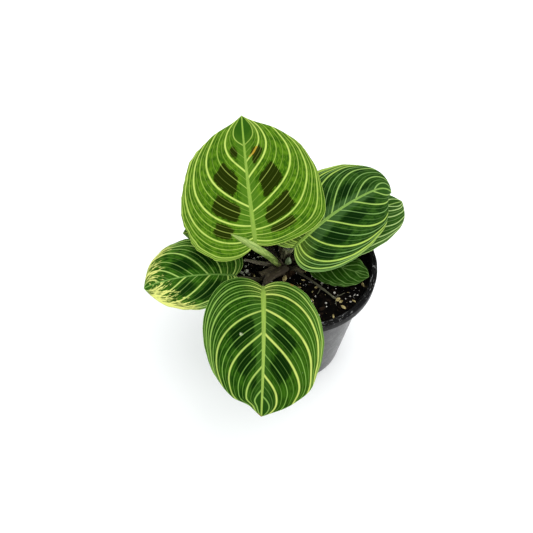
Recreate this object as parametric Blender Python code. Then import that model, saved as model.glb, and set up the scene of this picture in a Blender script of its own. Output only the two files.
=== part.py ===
"""Potted prayer plant: seven broad leaves on short petioles in a round black nursery pot.

Lengths are millimetres in the constants and metres in the meshes. The origin is
the centre of the underside of the pot, +Z is up and the front leaf points to -Y.
"""

import math
import random

import bmesh
import bpy
import numpy as np
from mathutils import Matrix, Vector

MM = 0.001
GAP = 0.3

# Pot, measured on the photograph against the usual 4 inch size
POT_HEIGHT = 95.0
RIM_RADIUS = 54.0
RIM_BAND = 6.7
LIP_INNER_RADIUS = 50.2
BODY_TOP_RADIUS = 48.3
BASE_RADIUS = 37.5
WALL = 1.2
FLOOR = 1.6
POT_SEGMENTS = 48
DRAIN_HOLES = 8
DRAIN_RADIUS = 3.0

# Soil
SOIL_EDGE_Z = 86.0
SOIL_CENTRE_Z = 88.6
SOIL_SEGMENTS = 40
GRAIN_COUNT = 16
GRAIN_RADIUS = (1.0, 1.7)

# Crown of the plant
CROWN_CENTRE = (-9.0, -0.5)
CROWN_RADIUS = 10.0
CROWN_FOOT_Z = 72.0
CROWN_TOP_Z = 91.8

# Blades
BLADE_THICKNESS = 0.8
EDGE_THICKNESS = 0.6
RIDGE_DEPTH = 1.0
BLADE_ROWS = 9
BLADE_COLUMNS = 9

# Outline of one half, in half widths across and in lengths along.
# The basal margin runs from the notch round the lobe to the shoulder, the rest to the tip.
ROUND = {
    "lobe_out": 0.56, "lobe_back": 0.26, "side_out": 1.26, "side_up": 0.28,
    "shoulder_out": 0.79, "shoulder_up": 0.70, "tip_reach": 0.15,
    "tip_out": 0.54, "tip_back": 0.11,
}
BROAD = {
    "lobe_out": 0.64, "lobe_back": 0.26, "side_out": 1.40, "side_up": 0.25,
    "shoulder_out": 0.76, "shoulder_up": 0.715, "tip_reach": 0.20,
    "tip_out": 0.14, "tip_back": 0.067,
}
FAN_SHARE = 0.15
MIDDLE_ANGLE = 77.0
TIP_ANGLE = 28.0
START_HANDLE = 0.37
END_HANDLE = 0.87

# Each leaf: base point, angles in degrees, sizes. Heading 0 is +X and 90 is +Y.
LEAVES = {
    "leaf_back": {
        "outline": BROAD, "base": (-28.0, -12.5, 127.0), "heading": 99, "sway": -3,
        "pitch": 8, "droop": -2, "roll": -13, "twist": 5, "length": 108.5,
        "left": 46.5, "right": 47.5, "lobes": (1.1, 0.7), "fold": 5,
        "cup": (14, 13), "wave": 1.0, "waves": 2.9, "phase": 0.1,
        "petiole": ((-14.2, 2.6, 92.9), (-21.5, -3.6, 111.0), (-27.9, -13.3, 121.4)),
        "petiole_radii": (1.5, 1.3, 1.2),
    },
    "leaf_front": {
        "outline": ROUND, "base": (-22.5, -32.0, 108.5), "heading": -87, "sway": -4,
        "pitch": 4, "droop": -25, "roll": -11, "twist": -5, "length": 84.5,
        "left": 40.5, "right": 39.5, "lobes": (1.0, 0.9), "fold": 6, "cup": (13, 11),
        "petiole": ((-10.4, -7.6, 95.2), (-18.0, -15.5, 98.5), (-21.8, -26.0, 105.0)),
        "petiole_radii": (3.0, 3.1, 1.6),
    },
    "leaf_right": {
        "outline": ROUND, "base": (-3.5, -9.0, 121.0), "heading": 49, "sway": -11,
        "pitch": 10, "droop": -27, "roll": 21, "twist": 5, "length": 97.0,
        "left": 34.0, "right": 35.0, "fold": 0, "cup": (18, 24), "hook": -38,
        "crook": -29,
        "petiole": ((-9.4, 5.4, 92.9), (-8.0, 1.0, 107.0), (-6.2, -8.2, 115.6)),
        "petiole_radii": (2.9, 2.7, 1.6),
    },
    "leaf_far_right": {
        "outline": ROUND, "base": (7.0, 9.5, 101.5), "heading": 38, "sway": -6,
        "pitch": 5, "droop": -16, "roll": 0, "twist": -2, "length": 84.5,
        "left": 34.0, "right": 31.0, "fold": 6, "cup": (10, 8), "hook": -7,
        "petiole": ((-3.0, 5.6, 92.6), (0.6, 7.0, 96.0), (4.2, 8.4, 99.2)),
        "petiole_radii": (1.7, 1.5, 1.4),
    },
    "leaf_low": {
        "outline": ROUND, "base": (10.5, 1.0, 95.5), "heading": -14, "sway": -5,
        "pitch": 4, "droop": -12, "roll": 5, "twist": 0, "length": 39.0,
        "left": 14.0, "right": 16.5, "fold": 5, "cup": (8, 9),
        "petiole": ((-1.0, -2.6, 92.6), (3.4, -1.0, 93.6), (7.6, 0.6, 94.8)),
        "petiole_radii": (1.2, 1.1, 1.0),
    },
    "leaf_left": {
        "outline": ROUND, "base": (-40.5, -19.0, 102.5), "heading": 180, "sway": 18,
        "pitch": 7, "droop": -22, "roll": -1, "twist": -2, "length": 61.0,
        "left": 29.0, "right": 31.0, "fold": 7, "cup": (7, 5), "hook": -7,
        "petiole": ((-16.2, -5.6, 92.6), (-24.0, -16.0, 95.6), (-36.0, -19.6, 100.8)),
        "petiole_radii": (1.7, 1.5, 1.3),
    },
    "leaf_hidden": {
        "outline": ROUND, "base": (-29.0, 17.0, 110.0), "heading": 189, "sway": 1,
        "pitch": 6, "droop": -12, "roll": 0, "twist": 0, "length": 49.0,
        "left": 17.0, "right": 18.0, "fold": 5, "cup": (8, 8),
        "petiole": ((-13.6, 5.8, 91.9), (-20.0, 12.0, 98.6), (-26.2, 16.4, 106.6)),
        "petiole_radii": (1.4, 1.3, 1.2),
    },
}
PETIOLE_END_RADIUS = 0.3
PETIOLE_STAND_OFF = 0.9

# Rolled new leaf, dry stub, runner and bud
NEW_LEAF_PATH = ((-12.2, -2.6, 93.8), (-19.0, -11.4, 114.0), (-26.6, -21.6, 134.0),
                 (-34.4, -24.6, 144.5), (-42.2, -26.2, 152.0))
NEW_LEAF_RADII = (1.7, 2.4, 2.9, 2.3, 0.4)
DRY_PETIOLE_PATH = ((-17.0, -1.8, 92.9), (-27.3, -3.0, 96.5), (-35.6, -3.7, 100.0))
DRY_PETIOLE_RADII = (1.7, 1.5, 1.0)
RUNNER_PATH = ((3.4, -7.2, 90.4), (15.3, -16.9, 90.2), (24.2, -24.8, 89.6), (28.3, -27.0, 89.4))
RUNNER_RADII = (0.9, 0.9, 0.8, 1.3)
BUD_CENTRE = (-6.2, 0.5, 94.9)
BUD_RADIUS = 2.2

TUBE_SIDES = 7
TUBE_STEPS = 4
SHARP_ANGLE = 40.0


def bezier(p0, p1, p2, p3, t):
    """Points of a cubic Bezier curve at the shares t."""
    t = np.asarray(t, float)[..., None]
    return (1 - t) ** 3 * p0 + 3 * (1 - t) ** 2 * t * p1 + 3 * (1 - t) * t**2 * p2 + t**3 * p3


def tip_edge(shape, u):
    """The margin from the shoulder (u = 0) to the tip (u = 1)."""
    side = np.array([shape["side_out"], shape["side_up"]])
    shoulder = np.array([shape["shoulder_out"], shape["shoulder_up"]])
    along = (shoulder - side) / np.linalg.norm(shoulder - side)
    near_tip = np.array([shape["tip_out"], 1 - shape["tip_back"]])
    return bezier(shoulder, shoulder + along * shape["tip_reach"], near_tip, np.array([0.0, 1.0]), u)


def vein(shape, q, t):
    """Points of the vein with index q: 0 is the basal margin, 1 the tip."""
    start = np.array([0.0, max(0.0, (q - FAN_SHARE) / (1 - FAN_SHARE))])
    end = tip_edge(shape, q)
    step = 1e-3
    along = tip_edge(shape, min(q + step, 1)) - tip_edge(shape, max(q - step, 0))
    along = along / np.linalg.norm(along)
    lobe_angle = math.degrees(math.atan2(shape["lobe_out"], -shape["lobe_back"]))
    if q < 0.5:
        angle = MIDDLE_ANGLE + (lobe_angle - MIDDLE_ANGLE) * (1 - 2 * q) ** 1.5
    else:
        angle = MIDDLE_ANGLE + (TIP_ANGLE - MIDDLE_ANGLE) * (2 * q - 1)
    first = math.hypot(shape["lobe_out"], shape["lobe_back"]) * (1 - q) ** (1 + START_HANDLE)
    last = math.hypot(shape["shoulder_out"] - shape["side_out"], shape["shoulder_up"] - shape["side_up"])
    last *= (1 - q) ** END_HANDLE
    turn = math.radians(angle)
    out = start + first * np.array([math.sin(turn), math.cos(turn)])
    return bezier(start, out, end - along * last, end, t)


def smooth_end(s):
    """Rises from 0 at three quarters of the length to 1 at the tip."""
    k = np.clip((s - 0.75) / 0.25, 0, 1)
    return k * k


def midrib_direction(leaf, s):
    """Unit direction of the midrib at share s."""
    end = smooth_end(s)
    pitch = np.radians(leaf["pitch"] + leaf["droop"] * s + leaf.get("hook", 0) * end)
    heading = np.radians(leaf["heading"] + leaf["sway"] * s + leaf.get("crook", 0) * end)
    return np.stack([np.cos(pitch) * np.cos(heading), np.cos(pitch) * np.sin(heading), np.sin(pitch)], -1), heading


def bend(leaf, flat):
    """Carries flat points (x to the right, y along the midrib) onto the bent blade."""
    x, y = flat[..., 0], flat[..., 1]
    table = np.linspace(0, 1, 61)
    directions, _ = midrib_direction(leaf, table)
    steps = (directions[1:] + directions[:-1]) / 2 * (table[1] * leaf["length"])
    spine = np.vstack([np.zeros(3), np.cumsum(steps, 0)]) + np.array(leaf["base"])
    share = y / leaf["length"]
    inside = np.clip(share, 0, 1)
    along, heading = midrib_direction(leaf, inside)
    point = np.stack([np.interp(inside, table, spine[:, k]) for k in range(3)], -1)
    point = point + along * ((share - inside) * leaf["length"])[..., None]
    level = np.stack([np.sin(heading), -np.cos(heading), 0 * heading], -1)
    above = np.cross(level, along)
    roll = np.radians(leaf["roll"] + leaf["twist"] * inside)[..., None]
    right = level * np.cos(roll) - above * np.sin(roll)
    up = above * np.cos(roll) + level * np.sin(roll)
    width = np.where(x < 0, leaf["left"], leaf["right"])
    cup = np.radians(np.where(x < 0, leaf["cup"][0], leaf["cup"][1]))
    fold = math.radians(leaf["fold"])
    slope = fold - cup * np.abs(x) / width
    across = width / cup * (math.sin(fold) - np.sin(slope))
    rise = width / cup * (np.cos(slope) - math.cos(fold))
    if leaf.get("wave"):
        turns = leaf["waves"] * share + leaf["phase"]
        shift = np.where(x < 0, 0, 1.3)
        rise = rise + leaf["wave"] * (np.abs(x) / width) ** 2 * np.sin(2 * math.pi * turns + shift)
    return point + right * (np.sign(x) * across)[..., None] + up * rise[..., None]


def blade_normal(leaf, flat):
    """Unit normals of the bent blade, pointing up."""
    d = 0.2
    right = bend(leaf, flat + [d, 0]) - bend(leaf, flat - [d, 0])
    along = bend(leaf, flat + [0, d]) - bend(leaf, flat - [0, d])
    normal = np.cross(right, along)
    return normal / np.linalg.norm(normal, axis=-1, keepdims=True)


def flat_grid(leaf, side):
    """Flat points of one half, a row for each vein, midrib first."""
    width = leaf["left"] if side < 0 else leaf["right"]
    lobe = leaf.get("lobes", (1.0, 1.0))[0 if side < 0 else 1]
    shares = np.linspace(0, 1, BLADE_COLUMNS + 1)
    grid = []
    for i in range(BLADE_ROWS + 1):
        row = vein(leaf["outline"], i / BLADE_ROWS, shares)
        back = np.where(row[:, 1] < 0, row[:, 1] * lobe, row[:, 1])
        grid.append(np.stack([side * width * row[:, 0], leaf["length"] * back], -1))
    return np.array(grid)


def blade_mesh(leaf):
    """Vertices and faces of a closed blade with a ridge under its midrib."""
    flat, thick, faces = [], [], []
    shared = {}

    def vertex(side, i, j, grid):
        if i == BLADE_ROWS:
            key = "tip"
        elif j == 0:
            key = round(float(grid[i, 0, 1]), 6)
        else:
            key = (side, i, j)
        if key not in shared:
            shared[key] = len(flat)
            flat.append(grid[i, j])
            depth = BLADE_THICKNESS
            if j == 0 or i == BLADE_ROWS:
                depth += RIDGE_DEPTH * (1 - grid[i, j, 1] / leaf["length"])
            elif j == BLADE_COLUMNS or i == 0:
                depth = EDGE_THICKNESS
            thick.append(depth)
        return shared[key]

    rims = {}
    for side in (-1, 1):
        grid = flat_grid(leaf, side)
        for i in range(BLADE_ROWS):
            for j in range(BLADE_COLUMNS):
                a, b = vertex(side, i, j, grid), vertex(side, i, j + 1, grid)
                c, d = vertex(side, i + 1, j + 1, grid), vertex(side, i + 1, j, grid)
                for tri in ((a, b, c), (a, c, d)):
                    if len(set(tri)) == 3:
                        faces.append(tri if side > 0 else tri[::-1])
        rim = [vertex(side, 0, j, grid) for j in range(BLADE_COLUMNS + 1)]
        rim += [vertex(side, i, BLADE_COLUMNS, grid) for i in range(1, BLADE_ROWS + 1)]
        rims[side] = rim
    flat = np.array(flat)
    top = bend(leaf, flat)
    below = top - blade_normal(leaf, flat) * np.array(thick)[:, None]
    count = len(top)
    both = faces + [tuple(k + count for k in tri[::-1]) for tri in faces]
    for side, rim in rims.items():
        for a, b in zip(rim[:-1], rim[1:]):
            walls = ((a, a + count, b + count), (a, b + count, b))
            both += [wall if side > 0 else wall[::-1] for wall in walls]
    return np.vstack([top, below]), both


def smooth_path(points, radii):
    """Catmull-Rom points and radii through the given ones."""
    points = np.array(points, float)
    radii = np.array(radii, float)
    padded = np.vstack([2 * points[0] - points[1], points, 2 * points[-1] - points[-2]])
    path, widths = [], []
    for k in range(len(points) - 1):
        a, b, c, d = padded[k : k + 4]
        for t in np.arange(TUBE_STEPS) / TUBE_STEPS:
            path.append(0.5 * (2 * b + (c - a) * t + (2 * a - 5 * b + 4 * c - d) * t**2 + (3 * b - a - 3 * c + d) * t**3))
            widths.append(radii[k] + (radii[k + 1] - radii[k]) * t)
    return np.vstack([path, points[-1:]]), np.append(widths, radii[-1])


def tube_mesh(points, radii):
    """Vertices and faces of a closed round tube along a smooth path."""
    path, widths = smooth_path(points, radii)
    tangents = np.gradient(path, axis=0)
    tangents /= np.linalg.norm(tangents, axis=1, keepdims=True)
    side = np.cross(tangents[0], [0.0, 1.0, 0.3])
    vertices, faces = [], []
    turns = np.arange(TUBE_SIDES) / TUBE_SIDES * 2 * math.pi
    for point, tangent, width in zip(path, tangents, widths):
        side = side - tangent * np.dot(side, tangent)
        side /= np.linalg.norm(side)
        other = np.cross(tangent, side)
        vertices += [point + width * (math.cos(a) * side + math.sin(a) * other) for a in turns]
    n = TUBE_SIDES
    for k in range(len(path) - 1):
        for j in range(n):
            a, b = k * n + j, k * n + (j + 1) % n
            faces += [(a, b, b + n), (a, b + n, a + n)]
    last = (len(path) - 1) * n
    faces += [(0, j + 1, j) for j in range(1, n - 1)]
    faces += [(last, last + j, last + j + 1) for j in range(1, n - 1)]
    return np.array(vertices), faces


def lathe_mesh(profile, segments, centre=(0.0, 0.0)):
    """Vertices and faces of a closed body of revolution; the profile goes up outside."""
    vertices, rings = [], []
    for radius, z in profile:
        if radius == 0:
            rings.append([len(vertices)] * segments)
            vertices.append((centre[0], centre[1], z))
            continue
        ring = []
        for k in range(segments):
            angle = 2 * math.pi * k / segments
            ring.append(len(vertices))
            vertices.append((centre[0] + radius * math.cos(angle), centre[1] + radius * math.sin(angle), z))
        rings.append(ring)
    faces = []
    for low, high in zip(rings[:-1], rings[1:]):
        for k in range(segments):
            a, b = low[k], low[(k + 1) % segments]
            c, d = high[(k + 1) % segments], high[k]
            faces += [tri for tri in ((a, b, c), (a, c, d)) if len(set(tri)) == 3]
    return np.array(vertices), faces


def material(name, colour, roughness):
    """A plain Principled material."""
    made = bpy.data.materials.new(name)
    made.use_nodes = True
    shader = made.node_tree.nodes["Principled BSDF"]
    shader.inputs["Base Color"].default_value = (*colour, 1.0)
    shader.inputs["Roughness"].default_value = roughness
    return made


def add_object(name, vertices, faces, finish, origin=(0.0, 0.0, 0.0)):
    """An object from vertices in millimetres, with its own origin, shaded smooth."""
    mesh = bpy.data.meshes.new(name)
    local = (np.array(vertices) - np.array(origin)) * MM
    mesh.from_pydata([tuple(v) for v in local], [], [tuple(f) for f in faces])
    mesh.shade_smooth()
    mesh.set_sharp_from_angle(angle=math.radians(SHARP_ANGLE))
    mesh.update()
    made = bpy.data.objects.new(name, mesh)
    made.location = Vector(origin) * MM
    bpy.context.scene.collection.objects.link(made)
    if finish:
        mesh.materials.append(finish)
    return made


def combine(target, cutters, operation):
    """Applies one exact Boolean with the joined cutters."""
    joined = bmesh.new()
    for cutter in cutters:
        joined.from_mesh(cutter.data)
    mesh = bpy.data.meshes.new(target.name + "_tool")
    joined.to_mesh(mesh)
    joined.free()
    tool = bpy.data.objects.new(target.name + "_tool", mesh)
    bpy.context.scene.collection.objects.link(tool)
    modifier = target.modifiers.new(operation.title(), "BOOLEAN")
    modifier.operation = operation
    modifier.solver = "EXACT"
    modifier.use_self = True
    modifier.object = tool
    bpy.context.view_layer.update()
    graph = bpy.context.evaluated_depsgraph_get()
    made = bpy.data.meshes.new_from_object(target.evaluated_get(graph))
    target.modifiers.clear()
    target.data = made
    made.shade_smooth()
    made.set_sharp_from_angle(angle=math.radians(SHARP_ANGLE))
    for old in [tool, *cutters]:
        bpy.data.objects.remove(old, do_unlink=True)


def build_pot():
    """The pot: base, tapered wall, folded rim with a double lip, drain holes."""
    under_rim = POT_HEIGHT - RIM_BAND
    inner_top = BODY_TOP_RADIUS - WALL
    profile = [
        (0.0, 0.0),
        (BASE_RADIUS - 1.0, 0.0),
        (BASE_RADIUS, 1.0),
        (BODY_TOP_RADIUS, under_rim - 2.0),
        (BODY_TOP_RADIUS + 1.3, under_rim + 1.2),
        (BODY_TOP_RADIUS + 3.1, POT_HEIGHT - 2.4),
        (RIM_RADIUS - 1.3, POT_HEIGHT - 2.4),
        (RIM_RADIUS - 1.3, under_rim),
        (RIM_RADIUS - 0.3, under_rim),
        (RIM_RADIUS, POT_HEIGHT - 0.8),
        (RIM_RADIUS - 0.5, POT_HEIGHT),
        (RIM_RADIUS - 1.5, POT_HEIGHT),
        (RIM_RADIUS - 2.0, POT_HEIGHT - 0.5),
        (RIM_RADIUS - 2.5, POT_HEIGHT - 0.2),
        (LIP_INNER_RADIUS + 0.3, POT_HEIGHT - 0.2),
        (LIP_INNER_RADIUS, POT_HEIGHT - 0.8),
        (LIP_INNER_RADIUS - 1.0, POT_HEIGHT - 3.5),
        (inner_top + 0.9, under_rim + 0.5),
        (inner_top, under_rim - 2.0),
        (BASE_RADIUS - WALL, FLOOR),
        (0.0, FLOOR),
    ]
    pot = add_object("pot", *lathe_mesh(profile, POT_SEGMENTS), material("black_plastic", (0.012, 0.012, 0.014), 0.45))
    cutters = []
    for k in range(DRAIN_HOLES):
        angle = 2 * math.pi * (k + 0.5) / DRAIN_HOLES
        tool = bpy.data.meshes.new("drain")
        shape = bmesh.new()
        bmesh.ops.create_cone(shape, cap_ends=True, segments=8, radius1=DRAIN_RADIUS * MM, radius2=DRAIN_RADIUS * MM, depth=14 * MM)
        place = Matrix.Rotation(angle, 4, "Z") @ Matrix.Translation(((BASE_RADIUS - 0.5) * MM, 0, 2.5 * MM)) @ Matrix.Rotation(math.radians(62), 4, "Y")
        bmesh.ops.transform(shape, matrix=place, verts=shape.verts)
        bmesh.ops.triangulate(shape, faces=shape.faces)
        shape.to_mesh(tool)
        shape.free()
        cutter = bpy.data.objects.new("drain", tool)
        bpy.context.scene.collection.objects.link(cutter)
        cutters.append(cutter)
    combine(pot, cutters, "DIFFERENCE")


def soil_height(radius):
    """Height of the soil at a distance from the pot's axis."""
    share = min(1.0, radius / (BODY_TOP_RADIUS - WALL))
    return SOIL_CENTRE_Z + (SOIL_EDGE_Z - SOIL_CENTRE_Z) * share**2


def build_soil():
    """The soil: fills the pot, with perlite grains fused in and a hole for the crown."""
    inner_top = BODY_TOP_RADIUS - WALL

    def wall_radius(z):
        foot, head = BASE_RADIUS - WALL, inner_top
        return foot + (head - foot) * (z - FLOOR) / (POT_HEIGHT - RIM_BAND - 2.0 - FLOOR) - GAP - 0.15

    floor = FLOOR + GAP
    rings = [(wall_radius(SOIL_EDGE_Z) * k / 5, 0) for k in (5, 4, 3, 2, 1)]
    profile = [(0.0, floor), (wall_radius(floor), floor)]
    profile += [(radius, soil_height(radius)) for radius, _ in rings]
    profile.append((0.0, SOIL_CENTRE_Z))
    soil = add_object("soil", *lathe_mesh(profile, SOIL_SEGMENTS), material("soil", (0.010, 0.008, 0.006), 0.95))
    chance = random.Random(7)
    grains = []
    while len(grains) < GRAIN_COUNT:
        radius = 43.0 * math.sqrt(chance.uniform(0.1, 1.0))
        angle = chance.uniform(0, 2 * math.pi)
        x, y = radius * math.cos(angle), radius * math.sin(angle)
        near_crown = math.hypot(x - CROWN_CENTRE[0], y - CROWN_CENTRE[1]) < CROWN_RADIUS + 4
        near_runner = 0 < x < 33 and abs((y + 7.2) * 0.78 + (x - 3.4) * 0.62) < 4
        near_low = x > 6 and -26 < y < 14
        if near_crown or near_runner or near_low:
            chance.random()
            continue
        shape = bmesh.new()
        bmesh.ops.create_icosphere(shape, subdivisions=1, radius=chance.uniform(*GRAIN_RADIUS) * MM)
        for vert in shape.verts:
            vert.co *= chance.uniform(0.8, 1.15)
        bmesh.ops.translate(shape, vec=Vector((x, y, soil_height(radius) + 0.2)) * MM, verts=shape.verts)
        mesh = bpy.data.meshes.new("grain")
        shape.to_mesh(mesh)
        shape.free()
        grain = bpy.data.objects.new("grain", mesh)
        bpy.context.scene.collection.objects.link(grain)
        grains.append(grain)
    combine(soil, grains, "UNION")
    hole = [(0.0, CROWN_FOOT_Z - GAP), (CROWN_RADIUS + GAP, CROWN_FOOT_Z - GAP), (CROWN_RADIUS + GAP, 100.0), (0.0, 100.0)]
    combine(soil, [add_object("crown_hole", *lathe_mesh(hole, 20, CROWN_CENTRE), None)], "DIFFERENCE")


def build_crown():
    """The brown stem base that stands in the soil."""
    profile = [
        (0.0, CROWN_FOOT_Z),
        (CROWN_RADIUS - 1.5, CROWN_FOOT_Z),
        (CROWN_RADIUS, CROWN_FOOT_Z + 3),
        (CROWN_RADIUS, soil_height(0.0)),
        (CROWN_RADIUS - 0.8, CROWN_TOP_Z - 1.6),
        (CROWN_RADIUS - 3.0, CROWN_TOP_Z - 0.4),
        (0.0, CROWN_TOP_Z),
    ]
    add_object("crown", *lathe_mesh(profile, 20, CROWN_CENTRE), material("crown", (0.035, 0.022, 0.012), 0.8), (*CROWN_CENTRE, CROWN_FOOT_Z))


def build_leaf(name, leaf, green, stalk):
    """One blade and its petiole, which ends just short of the notch."""
    add_object(name, *blade_mesh(leaf), green, leaf["base"])
    end = bend(leaf, np.array([[0.0, -PETIOLE_STAND_OFF]]))[0]
    up = blade_normal(leaf, np.array([[0.0, 0.0]]))[0]
    points = [*leaf["petiole"], end - up * 0.7]
    radii = [*leaf["petiole_radii"], PETIOLE_END_RADIUS]
    add_object(name.replace("leaf", "petiole"), *tube_mesh(points, radii), stalk, points[0])


def build_bud():
    """The small round bud at the crown."""
    profile = [(0.0, BUD_CENTRE[2] - BUD_RADIUS)]
    for k in range(1, 8):
        angle = -math.pi / 2 + math.pi * k / 8
        profile.append((BUD_RADIUS * math.cos(angle), BUD_CENTRE[2] + BUD_RADIUS * math.sin(angle)))
    profile.append((0.0, BUD_CENTRE[2] + BUD_RADIUS))
    add_object("bud", *lathe_mesh(profile, 14, BUD_CENTRE[:2]), material("bud", (0.10, 0.20, 0.12), 0.5), BUD_CENTRE)


def main():
    """Builds every node."""
    for old in list(bpy.data.objects):
        bpy.data.objects.remove(old, do_unlink=True)
    bpy.context.scene.unit_settings.scale_length = 1.0
    build_pot()
    build_soil()
    build_crown()
    green = material("leaf", (0.05, 0.16, 0.03), 0.4)
    stalk = material("petiole", (0.08, 0.06, 0.03), 0.6)
    for name, leaf in LEAVES.items():
        build_leaf(name, leaf, green, stalk)
    pale = material("new_leaf", (0.20, 0.33, 0.14), 0.5)
    dry = material("dry_stalk", (0.12, 0.09, 0.06), 0.8)
    add_object("new_leaf", *tube_mesh(NEW_LEAF_PATH, NEW_LEAF_RADII), pale, NEW_LEAF_PATH[0])
    add_object("dry_petiole", *tube_mesh(DRY_PETIOLE_PATH, DRY_PETIOLE_RADII), dry, DRY_PETIOLE_PATH[0])
    add_object("dry_runner", *tube_mesh(RUNNER_PATH, RUNNER_RADII), dry, RUNNER_PATH[0])
    build_bud()


main()
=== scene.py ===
"""Potted prayer plant: seven striped leaves on short stalks in a black nursery pot.

Lengths are millimetres in the fields and metres in the meshes. +Z is up, the pot
stands on z = 0 and the front leaf points to -Y.
"""

import logging
import math
import random
from dataclasses import dataclass
from enum import Enum

import bmesh
import bpy
import numpy as np
from mathutils import Matrix, Vector, noise


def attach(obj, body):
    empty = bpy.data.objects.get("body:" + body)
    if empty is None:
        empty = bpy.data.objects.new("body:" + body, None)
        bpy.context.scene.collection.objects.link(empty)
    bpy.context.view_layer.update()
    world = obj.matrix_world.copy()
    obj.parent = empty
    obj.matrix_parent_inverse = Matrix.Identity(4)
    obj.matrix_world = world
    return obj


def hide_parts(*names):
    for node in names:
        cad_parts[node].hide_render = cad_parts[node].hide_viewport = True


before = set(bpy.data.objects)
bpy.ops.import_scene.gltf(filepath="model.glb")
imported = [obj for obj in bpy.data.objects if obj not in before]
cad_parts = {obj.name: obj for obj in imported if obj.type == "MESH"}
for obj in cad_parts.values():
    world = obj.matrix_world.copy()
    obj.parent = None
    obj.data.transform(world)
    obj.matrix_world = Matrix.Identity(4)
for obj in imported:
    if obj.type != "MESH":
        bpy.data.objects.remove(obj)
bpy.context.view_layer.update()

LOG = logging.getLogger("prayer_plant")
MM = 0.001
WELD = 0.004
AXIS = 0.02
Pair = tuple[float, float]
Point = tuple[float, float, float]
Rgb = tuple[int, int, int]
Faces = list[tuple[int, ...]]
Shell = tuple[np.ndarray, Faces]


class Side(Enum):
    """The two halves of a blade, seen along the leaf from above."""

    LEFT = -1
    RIGHT = 1

    def pick(self, left: object, right: object) -> object:
        """The first for the left half, the second for the right one."""
        return left if self is Side.LEFT else right


class Speck(Enum):
    """What lies on the soil."""

    PERLITE = "perlite"
    BARK = "bark"
    STRAW = "straw"


def linear(colour: Rgb) -> tuple[float, ...]:
    """Turns a display colour of 0 to 255 into the linear colour that a shader takes.

    Args:
        colour: Red, green and blue as seen on a display.

    Returns:
        Linear red, green and blue, and an alpha of 1.
    """
    parts = [c / 255 for c in colour]
    turned = [p / 12.92 if p <= 0.04045 else ((p + 0.055) / 1.055) ** 2.4 for p in parts]
    return (*turned, 1.0)


def tinted(colour: Rgb, share: float, lift: int = 0) -> Rgb:
    """A colour darkened to a share of itself, or paled by a lift."""
    return tuple(min(255, int(c * share) + lift) for c in colour)


def step_up(values: np.ndarray, low: float, high: float) -> np.ndarray:
    """Smooth rise from 0 at low to 1 at high."""
    share = np.clip((values - low) / (high - low), 0, 1)
    return share * share * (3 - 2 * share)


def stacked(*parts: object) -> np.ndarray:
    """Joins grids of single numbers into one grid of rows."""
    return np.stack(np.broadcast_arrays(*parts), -1)


def unit(rows: np.ndarray) -> np.ndarray:
    """Rows brought to a length of 1."""
    return rows / np.linalg.norm(rows, axis=-1, keepdims=True)


def cubic(p0: np.ndarray, p1: np.ndarray, p2: np.ndarray, p3: np.ndarray, t: np.ndarray) -> np.ndarray:
    """Points of a cubic Bezier curve.

    Args:
        p0: Start.
        p1: First handle.
        p2: Second handle.
        p3: End.
        t: Shares along the curve.

    Returns:
        One point for each share.
    """
    t = np.asarray(t, float)[..., None]
    return (1 - t) ** 3 * p0 + 3 * (1 - t) ** 2 * t * p1 + 3 * (1 - t) * t**2 * p2 + t**3 * p3


def smooth_line(points: np.ndarray, steps: int) -> np.ndarray:
    """Catmull-Rom line through the given rows, which may hold more than a place.

    Args:
        points: One row for each given point.
        steps: Pieces between two given points.

    Returns:
        The finer rows.
    """
    padded = np.vstack([2 * points[0] - points[1], points, 2 * points[-1] - points[-2]])
    t = (np.arange(steps) / steps)[:, None]
    line = []
    for k in range(len(points) - 1):
        a, b, c, d = padded[k : k + 4]
        turn = (2 * a - 5 * b + 4 * c - d) * t**2 + (3 * b - a - 3 * c + d) * t**3
        line.append(0.5 * (2 * b + (c - a) * t + turn))
    return np.vstack([*line, points[-1:]])


def wobble(points: np.ndarray, scale: float, depth: int = 3) -> np.ndarray:
    """Seeded noise between about -1 and 1.

    Args:
        points: Rows of x, y and z in millimetres.
        scale: Size of the largest swell in millimetres.
        depth: Number of octaves.

    Returns:
        One value for each point.
    """
    return np.array([noise.fractal(Vector(p) / scale, 1.0, 2.0, depth) for p in points])


def grid_faces(rows: int, columns: int, ring: bool = False) -> Faces:
    """Faces of a grid of vertices.

    Args:
        rows: Number of rows.
        columns: Vertices in each row.
        ring: Whether each row closes on itself.

    Returns:
        The corners of each face.
    """
    faces = []
    for i in range(rows - 1):
        for j in range(columns if ring else columns - 1):
            a, b = i * columns + j, i * columns + (j + 1) % columns
            faces.append((a, b, b + columns, a + columns))
    return faces


def tube_faces(rings: int, sides: int, turned: bool = False) -> Faces:
    """Faces of a tube that is closed at its foot and its head.

    Args:
        rings: Number of rings.
        sides: Vertices in each ring.
        turned: Whether the rings run clockwise seen from the head.

    Returns:
        The corners of each face.
    """
    last = (rings - 1) * sides
    faces = grid_faces(rings, sides, ring=True)
    faces += [tuple(reversed(range(sides))), tuple(range(last, last + sides))]
    return [face[::-1] for face in faces] if turned else faces


def revolved(profile: list[Pair], sides: int) -> np.ndarray:
    """Rings of points round the z axis.

    Args:
        profile: Radius and height of each ring.
        sides: Points in each ring.

    Returns:
        The points, ring after ring.
    """
    turn = np.arange(sides) / sides * math.tau
    radii, heights = np.array(profile).T[..., None]
    return stacked(radii * np.cos(turn), radii * np.sin(turn), heights).reshape(-1, 3)


def linked(name: str, data: bpy.types.ID) -> bpy.types.Object:
    """A new object in the scene."""
    made = bpy.data.objects.new(name, data)
    bpy.context.scene.collection.objects.link(made)
    return made


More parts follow.
